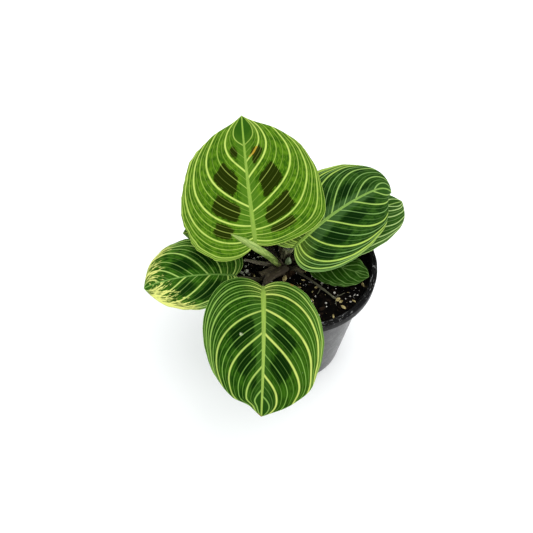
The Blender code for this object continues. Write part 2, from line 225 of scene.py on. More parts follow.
def clean(mesh: bpy.types.Mesh, sharp: float) -> None:
    """Welds a mesh and shades it smooth.

    Args:
        mesh: The mesh.
        sharp: Angle in degrees above which an edge is left sharp.
    """
    shape = bmesh.new()
    shape.from_mesh(mesh)
    bmesh.ops.remove_doubles(shape, verts=shape.verts, dist=WELD * MM)
    bmesh.ops.dissolve_degenerate(shape, edges=shape.edges, dist=WELD * MM)
    shape.to_mesh(mesh)
    shape.free()
    mesh.shade_smooth()
    mesh.set_sharp_from_angle(angle=math.radians(sharp))


def place(piece: bpy.types.Object, slot: str, *nodes: str) -> bpy.types.Object:
    """Puts a finished piece on the plant's body.

    Args:
        piece: The object.
        slot: Material slot of the record; not used.
        nodes: Solids that it stands for.

    Returns:
        The same object.
    """
    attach(piece, "root")
    if nodes:
        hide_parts(*nodes)
    return piece


class Form:
    """Vertices, faces and values gathered before they become one object."""

    def __init__(self) -> None:
        """Starts empty."""
        self.points: list[np.ndarray] = []
        self.faces: Faces = []
        self.finishes: list[int] = []
        self.values: dict[str, list[np.ndarray]] = {}
        self.count = 0

    def add(self, points: np.ndarray, faces: Faces, finish: int = 0, **values: np.ndarray) -> None:
        """Adds a shell.

        Args:
            points: Vertices in millimetres.
            faces: Corners of each face, counted from 0 in these points.
            finish: Number of the material.
            values: Three numbers for each vertex under each name.
        """
        for name, rows in values.items():
            self.values.setdefault(name, [np.zeros((self.count, 3))]).append(rows)
        for name, known in self.values.items():
            if name not in values:
                known.append(np.zeros((len(points), 3)))
        self.points.append(points)
        self.faces += [tuple(k + self.count for k in face) for face in faces]
        self.finishes += [finish] * len(faces)
        self.count += len(points)

    def add_sheet(self, upper: np.ndarray, lower: np.ndarray, turned: bool, **values: np.ndarray) -> None:
        """Adds a thin closed sheet, with its lower face in the second material.

        Args:
            upper: Upper grid, rows by columns by 3.
            lower: Lower grid of the same shape.
            turned: Whether the grid runs clockwise seen from above.
            values: Grids of three numbers, the same on both faces.
        """
        rows, columns = upper.shape[:2]
        count = rows * columns
        spots = np.arange(count).reshape(rows, columns)
        ring = [*spots[0], *spots[1:, -1], *spots[-1, -2::-1], *spots[-2::-1, 0]]
        top = grid_faces(rows, columns)
        walls = [(a, a + count, b + count, b) for a, b in zip(ring[:-1], ring[1:])]
        low = [tuple(k + count for k in face[::-1]) for face in top]
        faces = [face[::-1] if turned else face for face in top + walls + low]
        points = np.vstack([upper.reshape(-1, 3), lower.reshape(-1, 3)])
        doubled = {name: np.vstack([grid.reshape(-1, 3)] * 2) for name, grid in values.items()}
        self.add(points, faces, **doubled)
        self.finishes[-len(low) :] = [1] * len(low)

    def build(self, name: str, finishes: list[bpy.types.Material], sharp: float = 40.0) -> bpy.types.Object:
        """Makes the object.

        Args:
            name: Name of the piece.
            finishes: Materials in the order of their numbers.
            sharp: Angle in degrees above which an edge is left sharp.

        Returns:
            The new object.
        """
        mesh = bpy.data.meshes.new(name)
        mesh.from_pydata((np.vstack(self.points) * MM).tolist(), [], self.faces)
        for title, rows in self.values.items():
            attribute = mesh.attributes.new(title, "FLOAT_VECTOR", "POINT")
            attribute.data.foreach_set("vector", np.vstack(rows).astype(np.float32).ravel())
        mesh.polygons.foreach_set("material_index", self.finishes)
        for finish in finishes:
            mesh.materials.append(finish)
        clean(mesh, sharp)
        return linked(name, mesh)


@dataclass(frozen=True)
class Value:
    """An output in a material under construction, which can be added and multiplied."""

    made: "Nodes"
    socket: bpy.types.NodeSocket

    def __add__(self, other: object) -> "Value":
        """The sum."""
        return self.made.math("ADD", self, other)

    def __sub__(self, other: object) -> "Value":
        """The difference."""
        return self.made.math("SUBTRACT", self, other)

    def __rsub__(self, other: object) -> "Value":
        """The difference from a number."""
        return self.made.math("SUBTRACT", other, self)

    def __mul__(self, other: object) -> "Value":
        """The product."""
        return self.made.math("MULTIPLY", self, other)


@dataclass(frozen=True)
class Stretch:
    """Noise drawn out along a surface: swells across, swells along, its place and its octaves."""

    across: float
    along: float
    shift: float = 0.0
    detail: float = 2.0


class Nodes:
    """A material under construction, with short calls for the nodes that the finishes share."""

    def __init__(self, name: str, roughness: float, shine: float) -> None:
        """Makes a material with one Principled shader.

        Args:
            name: Name of the material.
            roughness: Value on the shader's own socket.
            shine: Specular level on the shader's own socket.
        """
        self.material = bpy.data.materials.new(name)
        self.material.use_nodes = True
        self.tree = self.material.node_tree
        self.shader = self.tree.nodes["Principled BSDF"]
        self.feed(self.shader.inputs["Roughness"], roughness)
        self.feed(self.shader.inputs["Specular IOR Level"], shine)

    def feed(self, socket: bpy.types.NodeSocket, value: object) -> None:
        """Links a value to a socket, or sets the socket to a number or a display colour."""
        if isinstance(value, Value):
            self.tree.links.new(value.socket, socket)
        else:
            socket.default_value = linear(value) if isinstance(value, tuple) else value

    def result(self, node: bpy.types.Node, *values: object) -> Value:
        """Feeds the first inputs of a node and takes its first output."""
        for socket, value in zip(node.inputs, values):
            self.feed(socket, value)
        return Value(self, node.outputs[0])

    def math(self, operation: str, *values: object) -> Value:
        """A Math node with Blender's name of its operation."""
        node = self.tree.nodes.new("ShaderNodeMath")
        node.operation = operation
        return self.result(node, *values)

    def rise(self, value: Value, low: float, high: float, top: float = 1.0, bottom: float = 0.0) -> Value:
        """A smooth step.

        Args:
            value: What is stepped.
            low: Where the step starts.
            high: Where it ends.
            top: Result past high.
            bottom: Result before low.

        Returns:
            The stepped value.
        """
        node = self.tree.nodes.new("ShaderNodeMapRange")
        node.interpolation_type = "SMOOTHSTEP"
        return self.result(node, value, low, high, bottom, top)

    def paint(self, ground: object, *layers: tuple[object, object]) -> Value:
        """Lays colours over each other.

        Args:
            ground: The lowest colour.
            layers: Share and colour of each layer, from low to high.

        Returns:
            The mixed colour.
        """
        for share, colour in layers:
            node = self.tree.nodes.new("ShaderNodeMix")
            node.data_type = "RGBA"
            for index, value in ((0, share), (6, ground), (7, colour)):
                self.feed(node.inputs[index], value)
            ground = Value(self, node.outputs[2])
        return ground

    def values(self, name: str) -> tuple[Value, ...]:
        """The three numbers that the vertices hold under a name."""
        node = self.tree.nodes.new("ShaderNodeAttribute")
        node.attribute_name = name
        return self.split(Value(self, node.outputs["Vector"]))

    def split(self, vector: Value) -> tuple[Value, ...]:
        """The three parts of a vector."""
        node = self.tree.nodes.new("ShaderNodeSeparateXYZ")
        self.feed(node.inputs[0], vector)
        return tuple(Value(self, part) for part in node.outputs)

    def spot(self) -> Value:
        """The place on the object, in metres."""
        return Value(self, self.tree.nodes.new("ShaderNodeTexCoord").outputs["Object"])

    def join(self, *parts: object) -> Value:
        """A vector from three values or numbers."""
        return self.result(self.tree.nodes.new("ShaderNodeCombineXYZ"), *parts)

    def noise(self, scale: float, detail: float, at: Value | None = None) -> Value:
        """Noise between 0 and 1.

        Args:
            scale: Swells for each unit of the vector.
            detail: Octaves.
            at: The vector, or none for the place on the object.

        Returns:
            The noise.
        """
        node = self.tree.nodes.new("ShaderNodeTexNoise")
        self.feed(node.inputs["Scale"], scale)
        self.feed(node.inputs["Detail"], detail)
        return self.result(node, at or self.spot())

    def drawn(self, across: Value, along: Value, grain: Stretch) -> Value:
        """Noise that is drawn out along a surface."""
        at = self.join(across * grain.across, along * grain.along, grain.shift)
        return self.noise(1.0, grain.detail, at)

    def cells(self, scale: float) -> Value:
        """Distance to the nearest of scattered points, scale of them a metre."""
        node = self.tree.nodes.new("ShaderNodeTexVoronoi")
        self.feed(node.inputs["Scale"], scale)
        return self.result(node, self.spot())

    def vein(self, phase: Value, gap: Value, parts: int, width: Value | float, soft: float) -> Value:
        """Lines at each part of the space between two main veins.

        Args:
            phase: Count of main veins from the base, whole on a vein.
            gap: Millimetres between two main veins.
            parts: Lines for each main vein.
            width: Width in millimetres.
            soft: Millimetres over which the line fades.

        Returns:
            1 on a line and 0 off it.
        """
        away = self.math("PINGPONG", phase * parts, 0.5) * (gap * (1 / parts))
        return self.rise(away - width * 0.5, soft, -soft * 0.6)

    def dress(
        self, colour: Value, roughness: Value | None, height: Value, depth: float
    ) -> bpy.types.Material:
        """Finishes the material.

        Args:
            colour: Base colour.
            roughness: None where the shader's own value stays.
            height: Relief between 0 and about 1.
            depth: Millimetres of relief where the height is 1.

        Returns:
            The material.
        """
        bump = self.tree.nodes.new("ShaderNodeBump")
        self.feed(bump.inputs["Distance"], depth * MM)
        self.feed(bump.inputs["Height"], height)
        self.feed(self.shader.inputs["Normal"], Value(self, bump.outputs[0]))
        self.feed(self.shader.inputs["Base Color"], colour)
        if roughness:
            self.feed(self.shader.inputs["Roughness"], roughness)
        return self.material


LEAF_SHINE = 0.015
FLECK: Rgb = (176, 186, 150)
MID_NOISE = 0.5
STREAKS = Stretch(14.0, 0.16, 0.0, 3.0)
UNDER_STREAKS = Stretch(14.0, 0.16, 2.0, 3.0)
POOLS = Stretch(4.0, 0.05, 7.0)
LADDER = Stretch(2.0, 1.3, 3.0)
FRAY = Stretch(36.0, 0.3, 5.0, 3.0)
DOTS = Stretch(11.0, 0.36, 4.0)
PATCHES = Stretch(2.6, 0.16, 6.0)
UNEVEN = Stretch(3.0, 0.12, 9.0, 3.0)
RIB_RIDGES = Stretch(9.0, 0.08, 0.0, 3.0)
MOULD_FLOW = Stretch(9.0, 40.0, 0.0, 3.0)


@dataclass(frozen=True)
class LeafFinish:
    """Colours of a blade's upper face and of its paler underside, and how its marks fade.

    A pair holds the two values between which a mark comes up: of noise for the lanes and the
    golden dots, of millimetres for most others. A third number is the mark's full strength.
    Parts are the shares of a sum.
    """

    name: str
    between: Rgb
    light_lane: Rgb
    by_midrib: Rgb
    tip: Rgb
    vein: Rgb
    gold_vein: Rgb
    midrib: Rgb
    blotch: Rgb
    blotch_vein: Rgb
    yellow: Rgb = (222, 226, 128)
    under: Rgb = (128, 158, 104)
    midrib_foot: Rgb = (150, 184, 66)
    scorch: Rgb = (124, 100, 50)
    # sun_lane, sunny, sun_part and sun_strength are painted light: they make the blade lighter towards +X,
    # the side that faces the lamps.
    sun_lane: Rgb = (72, 108, 22)
    vein_width: float = 1.0
    half_strength: float = 0.8
    fine_strength: float = 0.45
    blotch_edge: float = 1.3
    notch_glow: float = 0.12
    sunny: Pair = (1.0, 2.0)
    lanes: Pair = (0.40, 0.60)
    lane_parts: Point = (0.50, 0.32, 0.18)
    ladder_part: float = 0.25
    sun_part: float = 0.055
    fray: float = 5.0
    near_notch: Pair = (17.0, 2.0)
    gold_dots: Pair = (0.50, 0.57)
    gold_start: Pair = (-9.0, -5.0)
    gold_veins: Pair = (-7.0, -1.0)
    fine_room: Pair = (0.75, 1.7)
    half_room: Pair = (0.4, 1.2)
    main_soft: float = 0.46
    sun_strength: float = 0.12
    inner_strength: float = 0.8
    tip_strength: float = 0.9
    dot_parts: Pair = (0.55, 0.45)
    dot_rise: Point = (2.0, 9.0, 0.04)
    dot_slope: float = 0.010
    gold_strength: float = 0.95
    notch_vein: float = 0.8
    dark_vein: float = 0.45
    bright_vein: Pair = (0.55, 1.0)
    taper_start: float = 0.62
    taper_end: float = 0.5
    fine_fade: float = 0.25
    main_fade: float = 0.2
    main_start: Pair = (0.0, 0.5)
    uneven: Pair = (0.3, 0.55)
    uneven_low: float = 0.72
    hem: Point = (0.5, 0.1, 0.35)
    fleck_edge: Point = (-0.3, 0.3, 0.75)
    fleck_ragged: float = 1.5
    scorch_edge: Point = (-0.4, 0.5, 0.9)
    scorch_ragged: float = 4.0
    mottle_scale: float = 260.0
    grain_scale: float = 1500.0
    rough_noise: Pair = (0.25, 0.75)
    rough_range: Pair = (0.58, 0.46)
    relief_parts: Point = (0.9, 0.5, 0.35)
    relief: float = 0.16
    under_main: Pair = (0.9, 0.4)
    under_second: Pair = (0.5, 0.3)
    under_rib: Pair = (1.4, 0.8)
    under_dark: float = 0.86
    under_lift: int = 26
    under_veins: float = 0.7
    under_relief: float = 0.22
    rib_edge: Pair = (1.3, 0.7)
    rib_strength: float = 0.9
    rib_change: Pair = (2.0, 46.0)
    rib_foot: Point = (5.0, 0.5, 0.65)
    rib_lit: Pair = (0.35, 0.65)
    rib_groove_shade: float = 0.82
    rib_lift: int = 20
    rib_below: float = 0.8
    rib_relief: float = 0.12

    def rib_tone(self, made: Nodes, run: Value) -> Value:
        """The midrib's colour at a distance from the notch, darkest right at its foot."""
        along, foot = made.rise(run, *self.rib_change), made.rise(run, *self.rib_foot)
        return made.paint(self.midrib_foot, (along, self.midrib), (foot, self.between))

    def upper(self) -> bpy.types.Material:
        """The striped upper face.

        Returns:
            The material.
        """
        made = Nodes(self.name, 0.5, LEAF_SHINE)
        phase, run, gap = made.values("vein")
        across, edge, bright = made.values("place")
        inner, tip, share = made.values("zones")
        blotch, notch, yellow = made.values("marks")
        fleck, scorch, fine = made.values("flaws")
        streaks, mottle = made.drawn(phase, run, STREAKS), made.noise(self.mottle_scale, 4.0)
        # Painted light: sunlit lightens the blade towards +X, the side that faces the lamps.
        sunlit = made.rise(made.split(made.spot())[0], *self.sunny)
        streak_part, mottle_part, pool_part = self.lane_parts
        lanes = streaks * streak_part + mottle * mottle_part + made.drawn(phase, run, POOLS) * pool_part
        ladder = (made.drawn(phase, run, LADDER) - MID_NOISE) * self.ladder_part
        lanes = lanes + ladder + sunlit * self.sun_part
        frayed = blotch + (made.drawn(phase, run, FRAY) - MID_NOISE) * self.fray
        dark = made.rise(frayed, -self.blotch_edge, self.blotch_edge)
        near_notch = made.rise(notch, *self.near_notch)
        dot_part, patch_part = self.dot_parts
        dots = made.drawn(phase, run, DOTS) * dot_part + made.drawn(phase, run, PATCHES) * patch_part
        dots = dots + made.rise(yellow, *self.dot_rise) + yellow * self.dot_slope
        gold = made.rise(dots, *self.gold_dots) * made.rise(yellow, *self.gold_start)
        colour = made.paint(
            self.between,
            (made.rise(lanes, *self.lanes), self.light_lane),
            (sunlit * self.sun_strength, self.sun_lane),
            (inner * self.inner_strength, self.by_midrib),
            (tip * self.tip_strength, self.tip),
            (dark, self.blotch),
            (near_notch * self.notch_glow, self.midrib_foot),
            (gold * self.gold_strength, self.yellow),
        )
        marked = (
            (near_notch * self.notch_vein, self.gold_vein),
            (made.rise(yellow, *self.gold_veins), self.yellow),
            (dark * self.dark_vein, self.blotch_vein),
        )
        thin_tone = made.paint(self.vein, *marked)
        lit_vein = (made.rise(bright, *self.bright_vein), self.gold_vein)
        main_tone = made.paint(self.vein, lit_vein, *marked)
        taper = made.rise(share, 1.0, self.taper_start, 1.0, self.taper_end)
        fade = (1.0 - dark * self.fine_fade) * fine
        for parts, width, soft, strength, room in (
            (8, 0.14, 0.14, self.fine_strength * 0.2, self.fine_room),
            (4, 0.22, 0.20, self.fine_strength, self.fine_room),
            (2, 0.42, 0.26, self.half_strength, self.half_room),
        ):
            line = made.vein(phase, gap, parts, taper * width, soft)
            line = line * made.rise(gap * (1 / parts), *room)
            colour = made.paint(colour, (line * (fade * strength), thin_tone))
        main = made.vein(phase, gap, 1, bright * self.vein_width * taper, self.main_soft)
        uneven = made.rise(made.drawn(phase, run, UNEVEN), *self.uneven, 1.0, self.uneven_low)
        strong = made.rise(bright, *self.main_start) * uneven * (1.0 - dark * self.main_fade)
        rib = made.rise(across, *self.rib_edge)
        mottled = mottle - MID_NOISE
        colour = made.paint(
            colour,
            (main * strong, main_tone),
            (rib * self.rib_strength, self.rib_tone(made, notch)),
            (made.rise(edge, *self.hem), self.vein),
            (made.rise(fleck + mottled * self.fleck_ragged, *self.fleck_edge), FLECK),
            (made.rise(scorch + mottled * self.scorch_ragged, *self.scorch_edge), self.scorch),
        )
        raised = made.math("MAXIMUM", main, rib)
        line_part, streak_part, grain_part = self.relief_parts
        height = raised * line_part + streaks * streak_part
        height = height + made.noise(self.grain_scale, 2.0) * grain_part
        rough = made.rise(mottle, *self.rough_noise, *self.rough_range)
        return made.dress(colour, rough, height, self.relief)

    def lower(self) -> bpy.types.Material:
        """The paler underside with its raised veins.

        Returns:
            The material.
        """
        made = Nodes(self.name + "_underside", 0.6, 0.15)
        phase, run, gap = made.values("vein")
        across, _, _ = made.values("place")
        streaks = made.drawn(phase, run, UNDER_STREAKS)
        second = made.vein(phase, gap, 2, *self.under_second) * 0.5
        veins = made.math("MAXIMUM", made.vein(phase, gap, 1, *self.under_main), second)
        veins = made.math("MAXIMUM", veins, made.rise(across, *self.under_rib))
        dark, pale = tinted(self.under, self.under_dark), tinted(self.under, 1.0, self.under_lift)
        colour = made.paint(dark, (streaks, self.under), (veins * self.under_veins, pale))
        return made.dress(colour, None, veins + streaks * 0.4, self.under_relief)

    def rib(self) -> bpy.types.Material:
        """The midrib, with fine lengthwise ridges, painted lighter on the ridges and darker between them as
        light and shade.

        Returns:
            The material.
        """
        made = Nodes(self.name + "_midrib", 0.5, 0.12)
        around, along, below = made.values("rib")
        ridges = made.drawn(around, along, RIB_RIDGES)
        # Painted light and shade: the ridges take the full midrib tone, and the grooves between them a
        # darker copy of it.
        lit = (made.rise(ridges, *self.rib_lit), self.rib_tone(made, along))
        pale = (below * self.rib_below, tinted(self.under, 1.0, self.rib_lift))
        colour = made.paint(tinted(self.midrib, self.rib_groove_shade), lit, pale)
        return made.dress(colour, None, ridges, self.rib_relief)


@dataclass(frozen=True)
class StalkFinish:
    """A ribbed stalk whose colour changes from its foot to its head."""

    name: str
    foot: Rgb
    head: Rgb
    streak: Rgb
    change: Pair
    roughness: float
    ribs: float = 7.0
    streaks: Pair = (0.52, 0.70)
    plain_foot: float = -1.0
    soft: float = 0.08
    shine: float = 0.15
    patch_scale: float = 330.0
    patch_share: float = 0.35
    streak_strength: float = 0.75
    patches: Pair = (0.3, 0.7)
    duller: float = 0.12
    glossier: float = 0.08
    relief: float = 0.2

    def material(self) -> bpy.types.Material:
        """The stalk's material.

        Returns:
            The material.
        """
        made = Nodes(self.name, self.roughness, self.shine)
        around, along, share = made.values("stalk")
        lines = made.drawn(around, along, Stretch(self.ribs, 0.09, 0.0, 3.0))
        patches = made.noise(self.patch_scale, 4.0)
        level = share + (patches - MID_NOISE) * self.patch_share
        streaked = made.rise(level, self.plain_foot - self.soft, self.plain_foot + self.soft)
        streaked = streaked * made.rise(lines, *self.streaks, self.streak_strength)
        changed = made.rise(level, *self.change)
        colour = made.paint(self.foot, (changed, self.head), (streaked, self.streak))
        dull, glossy = min(1.0, self.roughness + self.duller), self.roughness - self.glossier
        rough = made.rise(patches, *self.patches, dull, glossy)
        return made.dress(colour, rough, lines + patches * 0.5, self.relief)


@dataclass(frozen=True)
class GrainFinish:
    """A dull mineral or woody surface with mottling at two scales."""

    name: str
    dark: Rgb
    light: Rgb
    patch_scale: float
    grain_scale: float
    relief: float
    roughness: float = 0.9
    shine: float = 0.05
    parts: Pair = (0.6, 0.4)
    change: Pair = (0.36, 0.64)

    def material(self) -> bpy.types.Material:
        """The mottled material.

        Returns:
            The material.
        """
        made = Nodes(self.name, self.roughness, self.shine)
        patches, grain = made.noise(self.patch_scale, 4.0), made.noise(self.grain_scale, 3.0)
        mottle = patches * self.parts[0] + grain * self.parts[1]
        colour = made.paint(self.dark, (made.rise(mottle, *self.change), self.light))
        return made.dress(colour, None, mottle, self.relief)


@dataclass(frozen=True)
class PotFinish:
    """Black moulded plastic, satin on the wall, scuffed and dusty on the rim, with painted shade darkening
    the rim and painted glints among its scratches. Heights are metres.
    """

    wall: Rgb = (34, 34, 35)
    rim: Rgb = (8, 8, 8)
    scuff_and_glint: Rgb = (150, 151, 150)
    dust: Rgb = (128, 124, 112)
    rim_shade_start: Pair = (0.0868, 0.0885)
    rim_top: Pair = (0.0935, 0.0944)
    scratch_rings: float = 1300.0
    speck_scale: float = 420.0
    bloom_roughness: float = 0.35
    roughness: float = 0.38
    fine_scale: float = 900.0
    coarse_scale: float = 150.0
    worn_scale: float = 45.0
    worn: Pair = (0.46, 0.60)
    scratch_turns: float = 17.0
    scratch_bend: float = 6.0
    scratches: Pair = (0.56, 0.68)
    scratch_strength: float = 0.7
    speck_edge: Pair = (0.16, 0.06)
    speck_patches: Pair = (0.5, 0.62)
    speck_strength: float = 0.5
    flow_strength: float = 0.25
    rough_noise: Pair = (0.35, 0.65)
    rough_range: Pair = (0.52, 0.34)
    relief_parts: Pair = (0.4, 0.9)
    relief: float = 0.12

    def material(self, name: str, shine: float, bloom: float) -> bpy.types.Material:
        """The material of the wall or of the rim.

        Args:
            name: Name of the material.
            shine: Specular level.
            bloom: Pale sheen of dusty plastic.

        Returns:
            The material.
        """
        made = Nodes(name, self.roughness, shine)
        made.shader.inputs["Sheen Weight"].default_value = bloom
        made.shader.inputs["Sheen Roughness"].default_value = self.bloom_roughness
        x, y, z = made.split(made.spot())
        turn = made.math("ARCTAN2", y, x)
        outward = made.math("SQRT", x * x + y * y)
        fine, coarse = made.noise(self.fine_scale, 3.0), made.noise(self.coarse_scale, 4.0)
        rings = (outward + z) * self.scratch_rings
        at = made.join(turn * self.scratch_turns, rings, coarse * self.scratch_bend)
        scratch = made.noise(1.0, 4.0, at)
        top = made.rise(z, *self.rim_top) * made.rise(made.noise(self.worn_scale, 2.0), *self.worn)
        specks = made.rise(made.cells(self.speck_scale), *self.speck_edge)
        specks = specks * made.rise(coarse, *self.speck_patches)
        # Painted shade: from just under the rim band up, the colour turns near-black. This paints the
        # shadow under the rim and a rim darker than the wall of the same plastic. The mould streaks share
        # that colour.
        colour = made.paint(
            self.wall,
            (made.rise(z, *self.rim_shade_start), self.rim),
            (made.drawn(turn, z, MOULD_FLOW) * self.flow_strength, self.rim),
            # The pale scratches on the rim top are partly real scuffs and partly painted glints of light on
            # the crinkled lip.
            (made.rise(scratch, *self.scratches) * top * self.scratch_strength, self.scuff_and_glint),
            (specks * self.speck_strength, self.dust),
        )
        rough = made.rise(coarse * 0.5 + fine * 0.5, *self.rough_noise, *self.rough_range)
        fine_part, scratch_part = self.relief_parts
        height = fine * fine_part + scratch * top * scratch_part
        return made.dress(colour, rough, height, self.relief)


@dataclass(frozen=True)
class Outline:
    """Outline of half a blade, in half widths across and in lengths along.

    The basal margin runs from the notch round the lobe to the shoulder, the rest to the tip.
    Pairs are out and up, angles are degrees. The other fields bend the veins inside it.
    """

    lobe: Pair
    side: Pair
    shoulder: Pair
    tip_reach: float
    near_tip: Pair
    fan_share: float = 0.013
    edge_power: float = 1.065
    edge_rush: float = 2.45
    middle_angle: float = 52.5
    tip_angle: float = 20.0
    start_power: float = 2.1
    end_power: float = 0.6
    bow: float = 0.58
    bow_power: float = 2.9
    meeting_angle: float = 11.3
    near: float = 0.001

    def tip_edge(self, share: np.ndarray) -> np.ndarray:
        """The margin from the shoulder, at share 0, to the tip, at share 1."""
        side, shoulder = np.array(self.side), np.array(self.shoulder)
        handle = shoulder + unit(shoulder - side) * self.tip_reach
        return cubic(shoulder, handle, np.array(self.near_tip), np.array([0.0, 1.0]), share)

    def veins(self, shares: np.ndarray, stations: np.ndarray) -> np.ndarray:
        """Veins that leave the midrib, sweep up beside the margin and meet it.

        Args:
            shares: Index of each vein, 0 for the basal margin and 1 for the tip.
            stations: 0 on the midrib, 1 on the margin.

        Returns:
            Points, veins by stations by 2.
        """
        q = np.asarray(shares, float)
        start = stacked(0.0, np.maximum(0, (q - self.fan_share) / (1 - self.fan_share)))
        reach = 1 - (1 - q**self.edge_power) ** self.edge_rush
        end = self.tip_edge(reach)
        before, after = np.maximum(reach - self.near, 0), np.minimum(reach + self.near, 1)
        x, y = unit(self.tip_edge(after) - self.tip_edge(before)).T
        turn = np.radians(-self.meeting_angle) * np.clip(q * 8, 0, 1)
        inward = stacked(x * np.cos(turn) - y * np.sin(turn), x * np.sin(turn) + y * np.cos(turn))
        lobe_angle = math.degrees(math.atan2(*self.lobe))
        low = self.middle_angle + (lobe_angle - self.middle_angle) * np.clip(1 - 2 * q, 0, 1) ** 1.5
        high = self.middle_angle + (self.tip_angle - self.middle_angle) * (2 * q - 1)
        angle = np.radians(np.where(q < 0.5, low, high))
        first = math.hypot(*self.lobe) * (1 - q) ** self.start_power
        last = math.dist(self.shoulder, self.side) * (1 - q) ** self.end_power
        out = start + first[:, None] * stacked(np.sin(angle), np.cos(angle))
        bow = stacked(-self.bow * q * (1 - q) ** self.bow_power, 0.0)
        back = end - inward * last[:, None] + bow
        return cubic(*(p[:, None] for p in (start, out, back, end)), stations)


@dataclass(frozen=True)
class LeafShape:
    """How a flat blade lies in space. Heading 0 is +X and 90 is +Y, angles are degrees."""

    outline: Outline
    base: Point
    heading: float
    sway: float
    pitch: float
    droop: float
    roll: float
    twist: float
    length: float
    widths: Pair
    fold: float
    cup: Pair
    lobes: Pair = (1.0, 1.0)
    hook: float = 0.0
    crook: float = 0.0
    wave: float = 0.0
    waves: float = 0.0
    phase: float = 0.0
    right_shift: float = 1.3
    hook_start: float = 0.75
    spine_steps: int = 61
    step: float = 0.2

    def direction(self, share: np.ndarray) -> tuple[np.ndarray, np.ndarray]:
        """Unit direction and heading of the midrib.

        Args:
            share: Share of the length.

        Returns:
            The direction, and the heading in radians.
        """
        end = np.clip((share - self.hook_start) / (1 - self.hook_start), 0, 1) ** 2
        pitch = np.radians(self.pitch + self.droop * share + self.hook * end)
        heading = np.radians(self.heading + self.sway * share + self.crook * end)
        flat = np.cos(pitch)
        return stacked(flat * np.cos(heading), flat * np.sin(heading), np.sin(pitch)), heading

    def bend(self, flat: np.ndarray) -> np.ndarray:
        """Carries flat points onto the bent blade.

        Args:
            flat: x to the right and y along the midrib, in millimetres.

        Returns:
            Points in space.
        """
        x, y = flat[..., 0], flat[..., 1]
        table = np.linspace(0, 1, self.spine_steps)
        directions, _ = self.direction(table)
        steps = (directions[1:] + directions[:-1]) / 2 * (table[1] * self.length)
        spine = np.vstack([np.zeros(3), np.cumsum(steps, 0)]) + self.base
        share = y / self.length
        inside = np.clip(share, 0, 1)
        along, heading = self.direction(inside)
        point = stacked(*(np.interp(inside, table, column) for column in spine.T))
        point = point + along * ((share - inside) * self.length)[..., None]
        level = stacked(np.sin(heading), -np.cos(heading), 0.0)
        above = np.cross(level, along)
        roll = np.radians(self.roll + self.twist * inside)[..., None]
        right = level * np.cos(roll) - above * np.sin(roll)
        up = above * np.cos(roll) + level * np.sin(roll)
        width = np.where(x < 0, *self.widths)
        cup = np.radians(np.where(x < 0, *self.cup))
        fold = math.radians(self.fold)
        slope = fold - cup * np.abs(x) / width
        across = width / cup * (math.sin(fold) - np.sin(slope))
        rise = width / cup * (np.cos(slope) - math.cos(fold))
        turns = math.tau * (self.waves * share + self.phase) + np.where(x < 0, 0, self.right_shift)
        rise = rise + self.wave * (np.abs(x) / width) ** 2 * np.sin(turns)
        return point + right * (np.sign(x) * across)[..., None] + up * rise[..., None]

    def normal(self, flat: np.ndarray) -> np.ndarray:
        """Unit normals of the bent blade at flat points, pointing up."""
        right = self.bend(flat + [self.step, 0]) - self.bend(flat - [self.step, 0])
        along = self.bend(flat + [0, self.step]) - self.bend(flat - [0, self.step])
        return unit(np.cross(right, along))


@dataclass(frozen=True)
class Blotch:
    """A dark mark beside a main vein, cut off straight by the lanes between the veins."""

    side: Side
    vein: int
    first: float
    last: float
    near: float
    far: float


@dataclass(frozen=True)
class Spot:
    """A small mark, placed by vein index and by share of the way to the margin."""

    side: Side
    vein: float
    station: float
    radius: float


@dataclass(frozen=True)
class Curl:
    """A part of a blade that bends up beyond a straight line, which has the bent part on its right."""

    side: Side
    start: Pair
    end: Pair
    angle: float
    radius: float

    def bent(self, flat: np.ndarray) -> tuple[np.ndarray, np.ndarray]:
        """Flat points after the bend.

        Args:
            flat: Flat points before it.

        Returns:
            The points moved inward, and how far each rises.
        """
        x, y = unit(np.array(self.end) - self.start)
        outward = np.array([y, -x])
        beyond = np.maximum((flat - self.start) @ outward, 0)
        full = math.radians(self.angle)
        turn = np.minimum(beyond / self.radius, full)
        rest = np.maximum(beyond - self.radius * full, 0)
        level = self.radius * np.sin(turn) + rest * math.cos(full)
        rise = self.radius * (1 - np.cos(turn)) + rest * math.sin(full)
        return flat + (level - beyond)[..., None] * outward, rise


@dataclass(frozen=True)
class Pull:
    """Narrows one half of a blade towards its tip, or widens it where the amount is negative."""

    side: Side
    first: float
    last: float
    amount: float

    def share(self, along: np.ndarray) -> np.ndarray:
        """What is left of the width at each share of the length."""
        return 1 - self.amount * step_up(along, self.first, self.last)


@dataclass(frozen=True)
class Markings:
    """Main veins and marks of one blade.

    Each main vein is the index at which it leaves the midrib. A second vein runs halfway
    between two main ones, and thin ones at the quarters.
    """

    left: tuple[float, ...] = (0.06, 0.14, 0.26, 0.43, 0.66, 0.82)
    right: tuple[float, ...] = (0.05, 0.12, 0.23, 0.40, 0.65, 0.83)
    left_bright: tuple[float, ...] = (0.55, 0.6, 0.65, 0.65, 0.6, 0.45)
    right_bright: tuple[float, ...] = (0.55, 0.6, 0.65, 0.65, 0.6, 0.45)
    blotches: tuple[Blotch, ...] = ()
    inner: float = 9.0
    rib: Pair = (1.3, 0.45)
    yellow_left: tuple[Pair, ...] = ()
    yellow_right: tuple[Pair, ...] = ()
    green_tip: float = 7.5
    bare_lanes: Pair = (1.0, 1.0)
    flecks: tuple[Spot, ...] = ()
    scorches: tuple[Spot, ...] = ()

    def mains(self, side: Side) -> np.ndarray:
        """Indices of the margin, the main veins and the tip."""
        return np.array([0.0, *side.pick(self.left, self.right), 1.0])

    def rib_width(self, share: np.ndarray) -> np.ndarray:
        """Half width of the midrib in millimetres at a share of the length."""
        wide, thin = self.rib
        foot = 0.62 + 0.38 * step_up(share, 0.0, 0.09)
        return foot * (thin + (wide - thin) * np.clip(1 - share, 0, 1) ** 1.2)


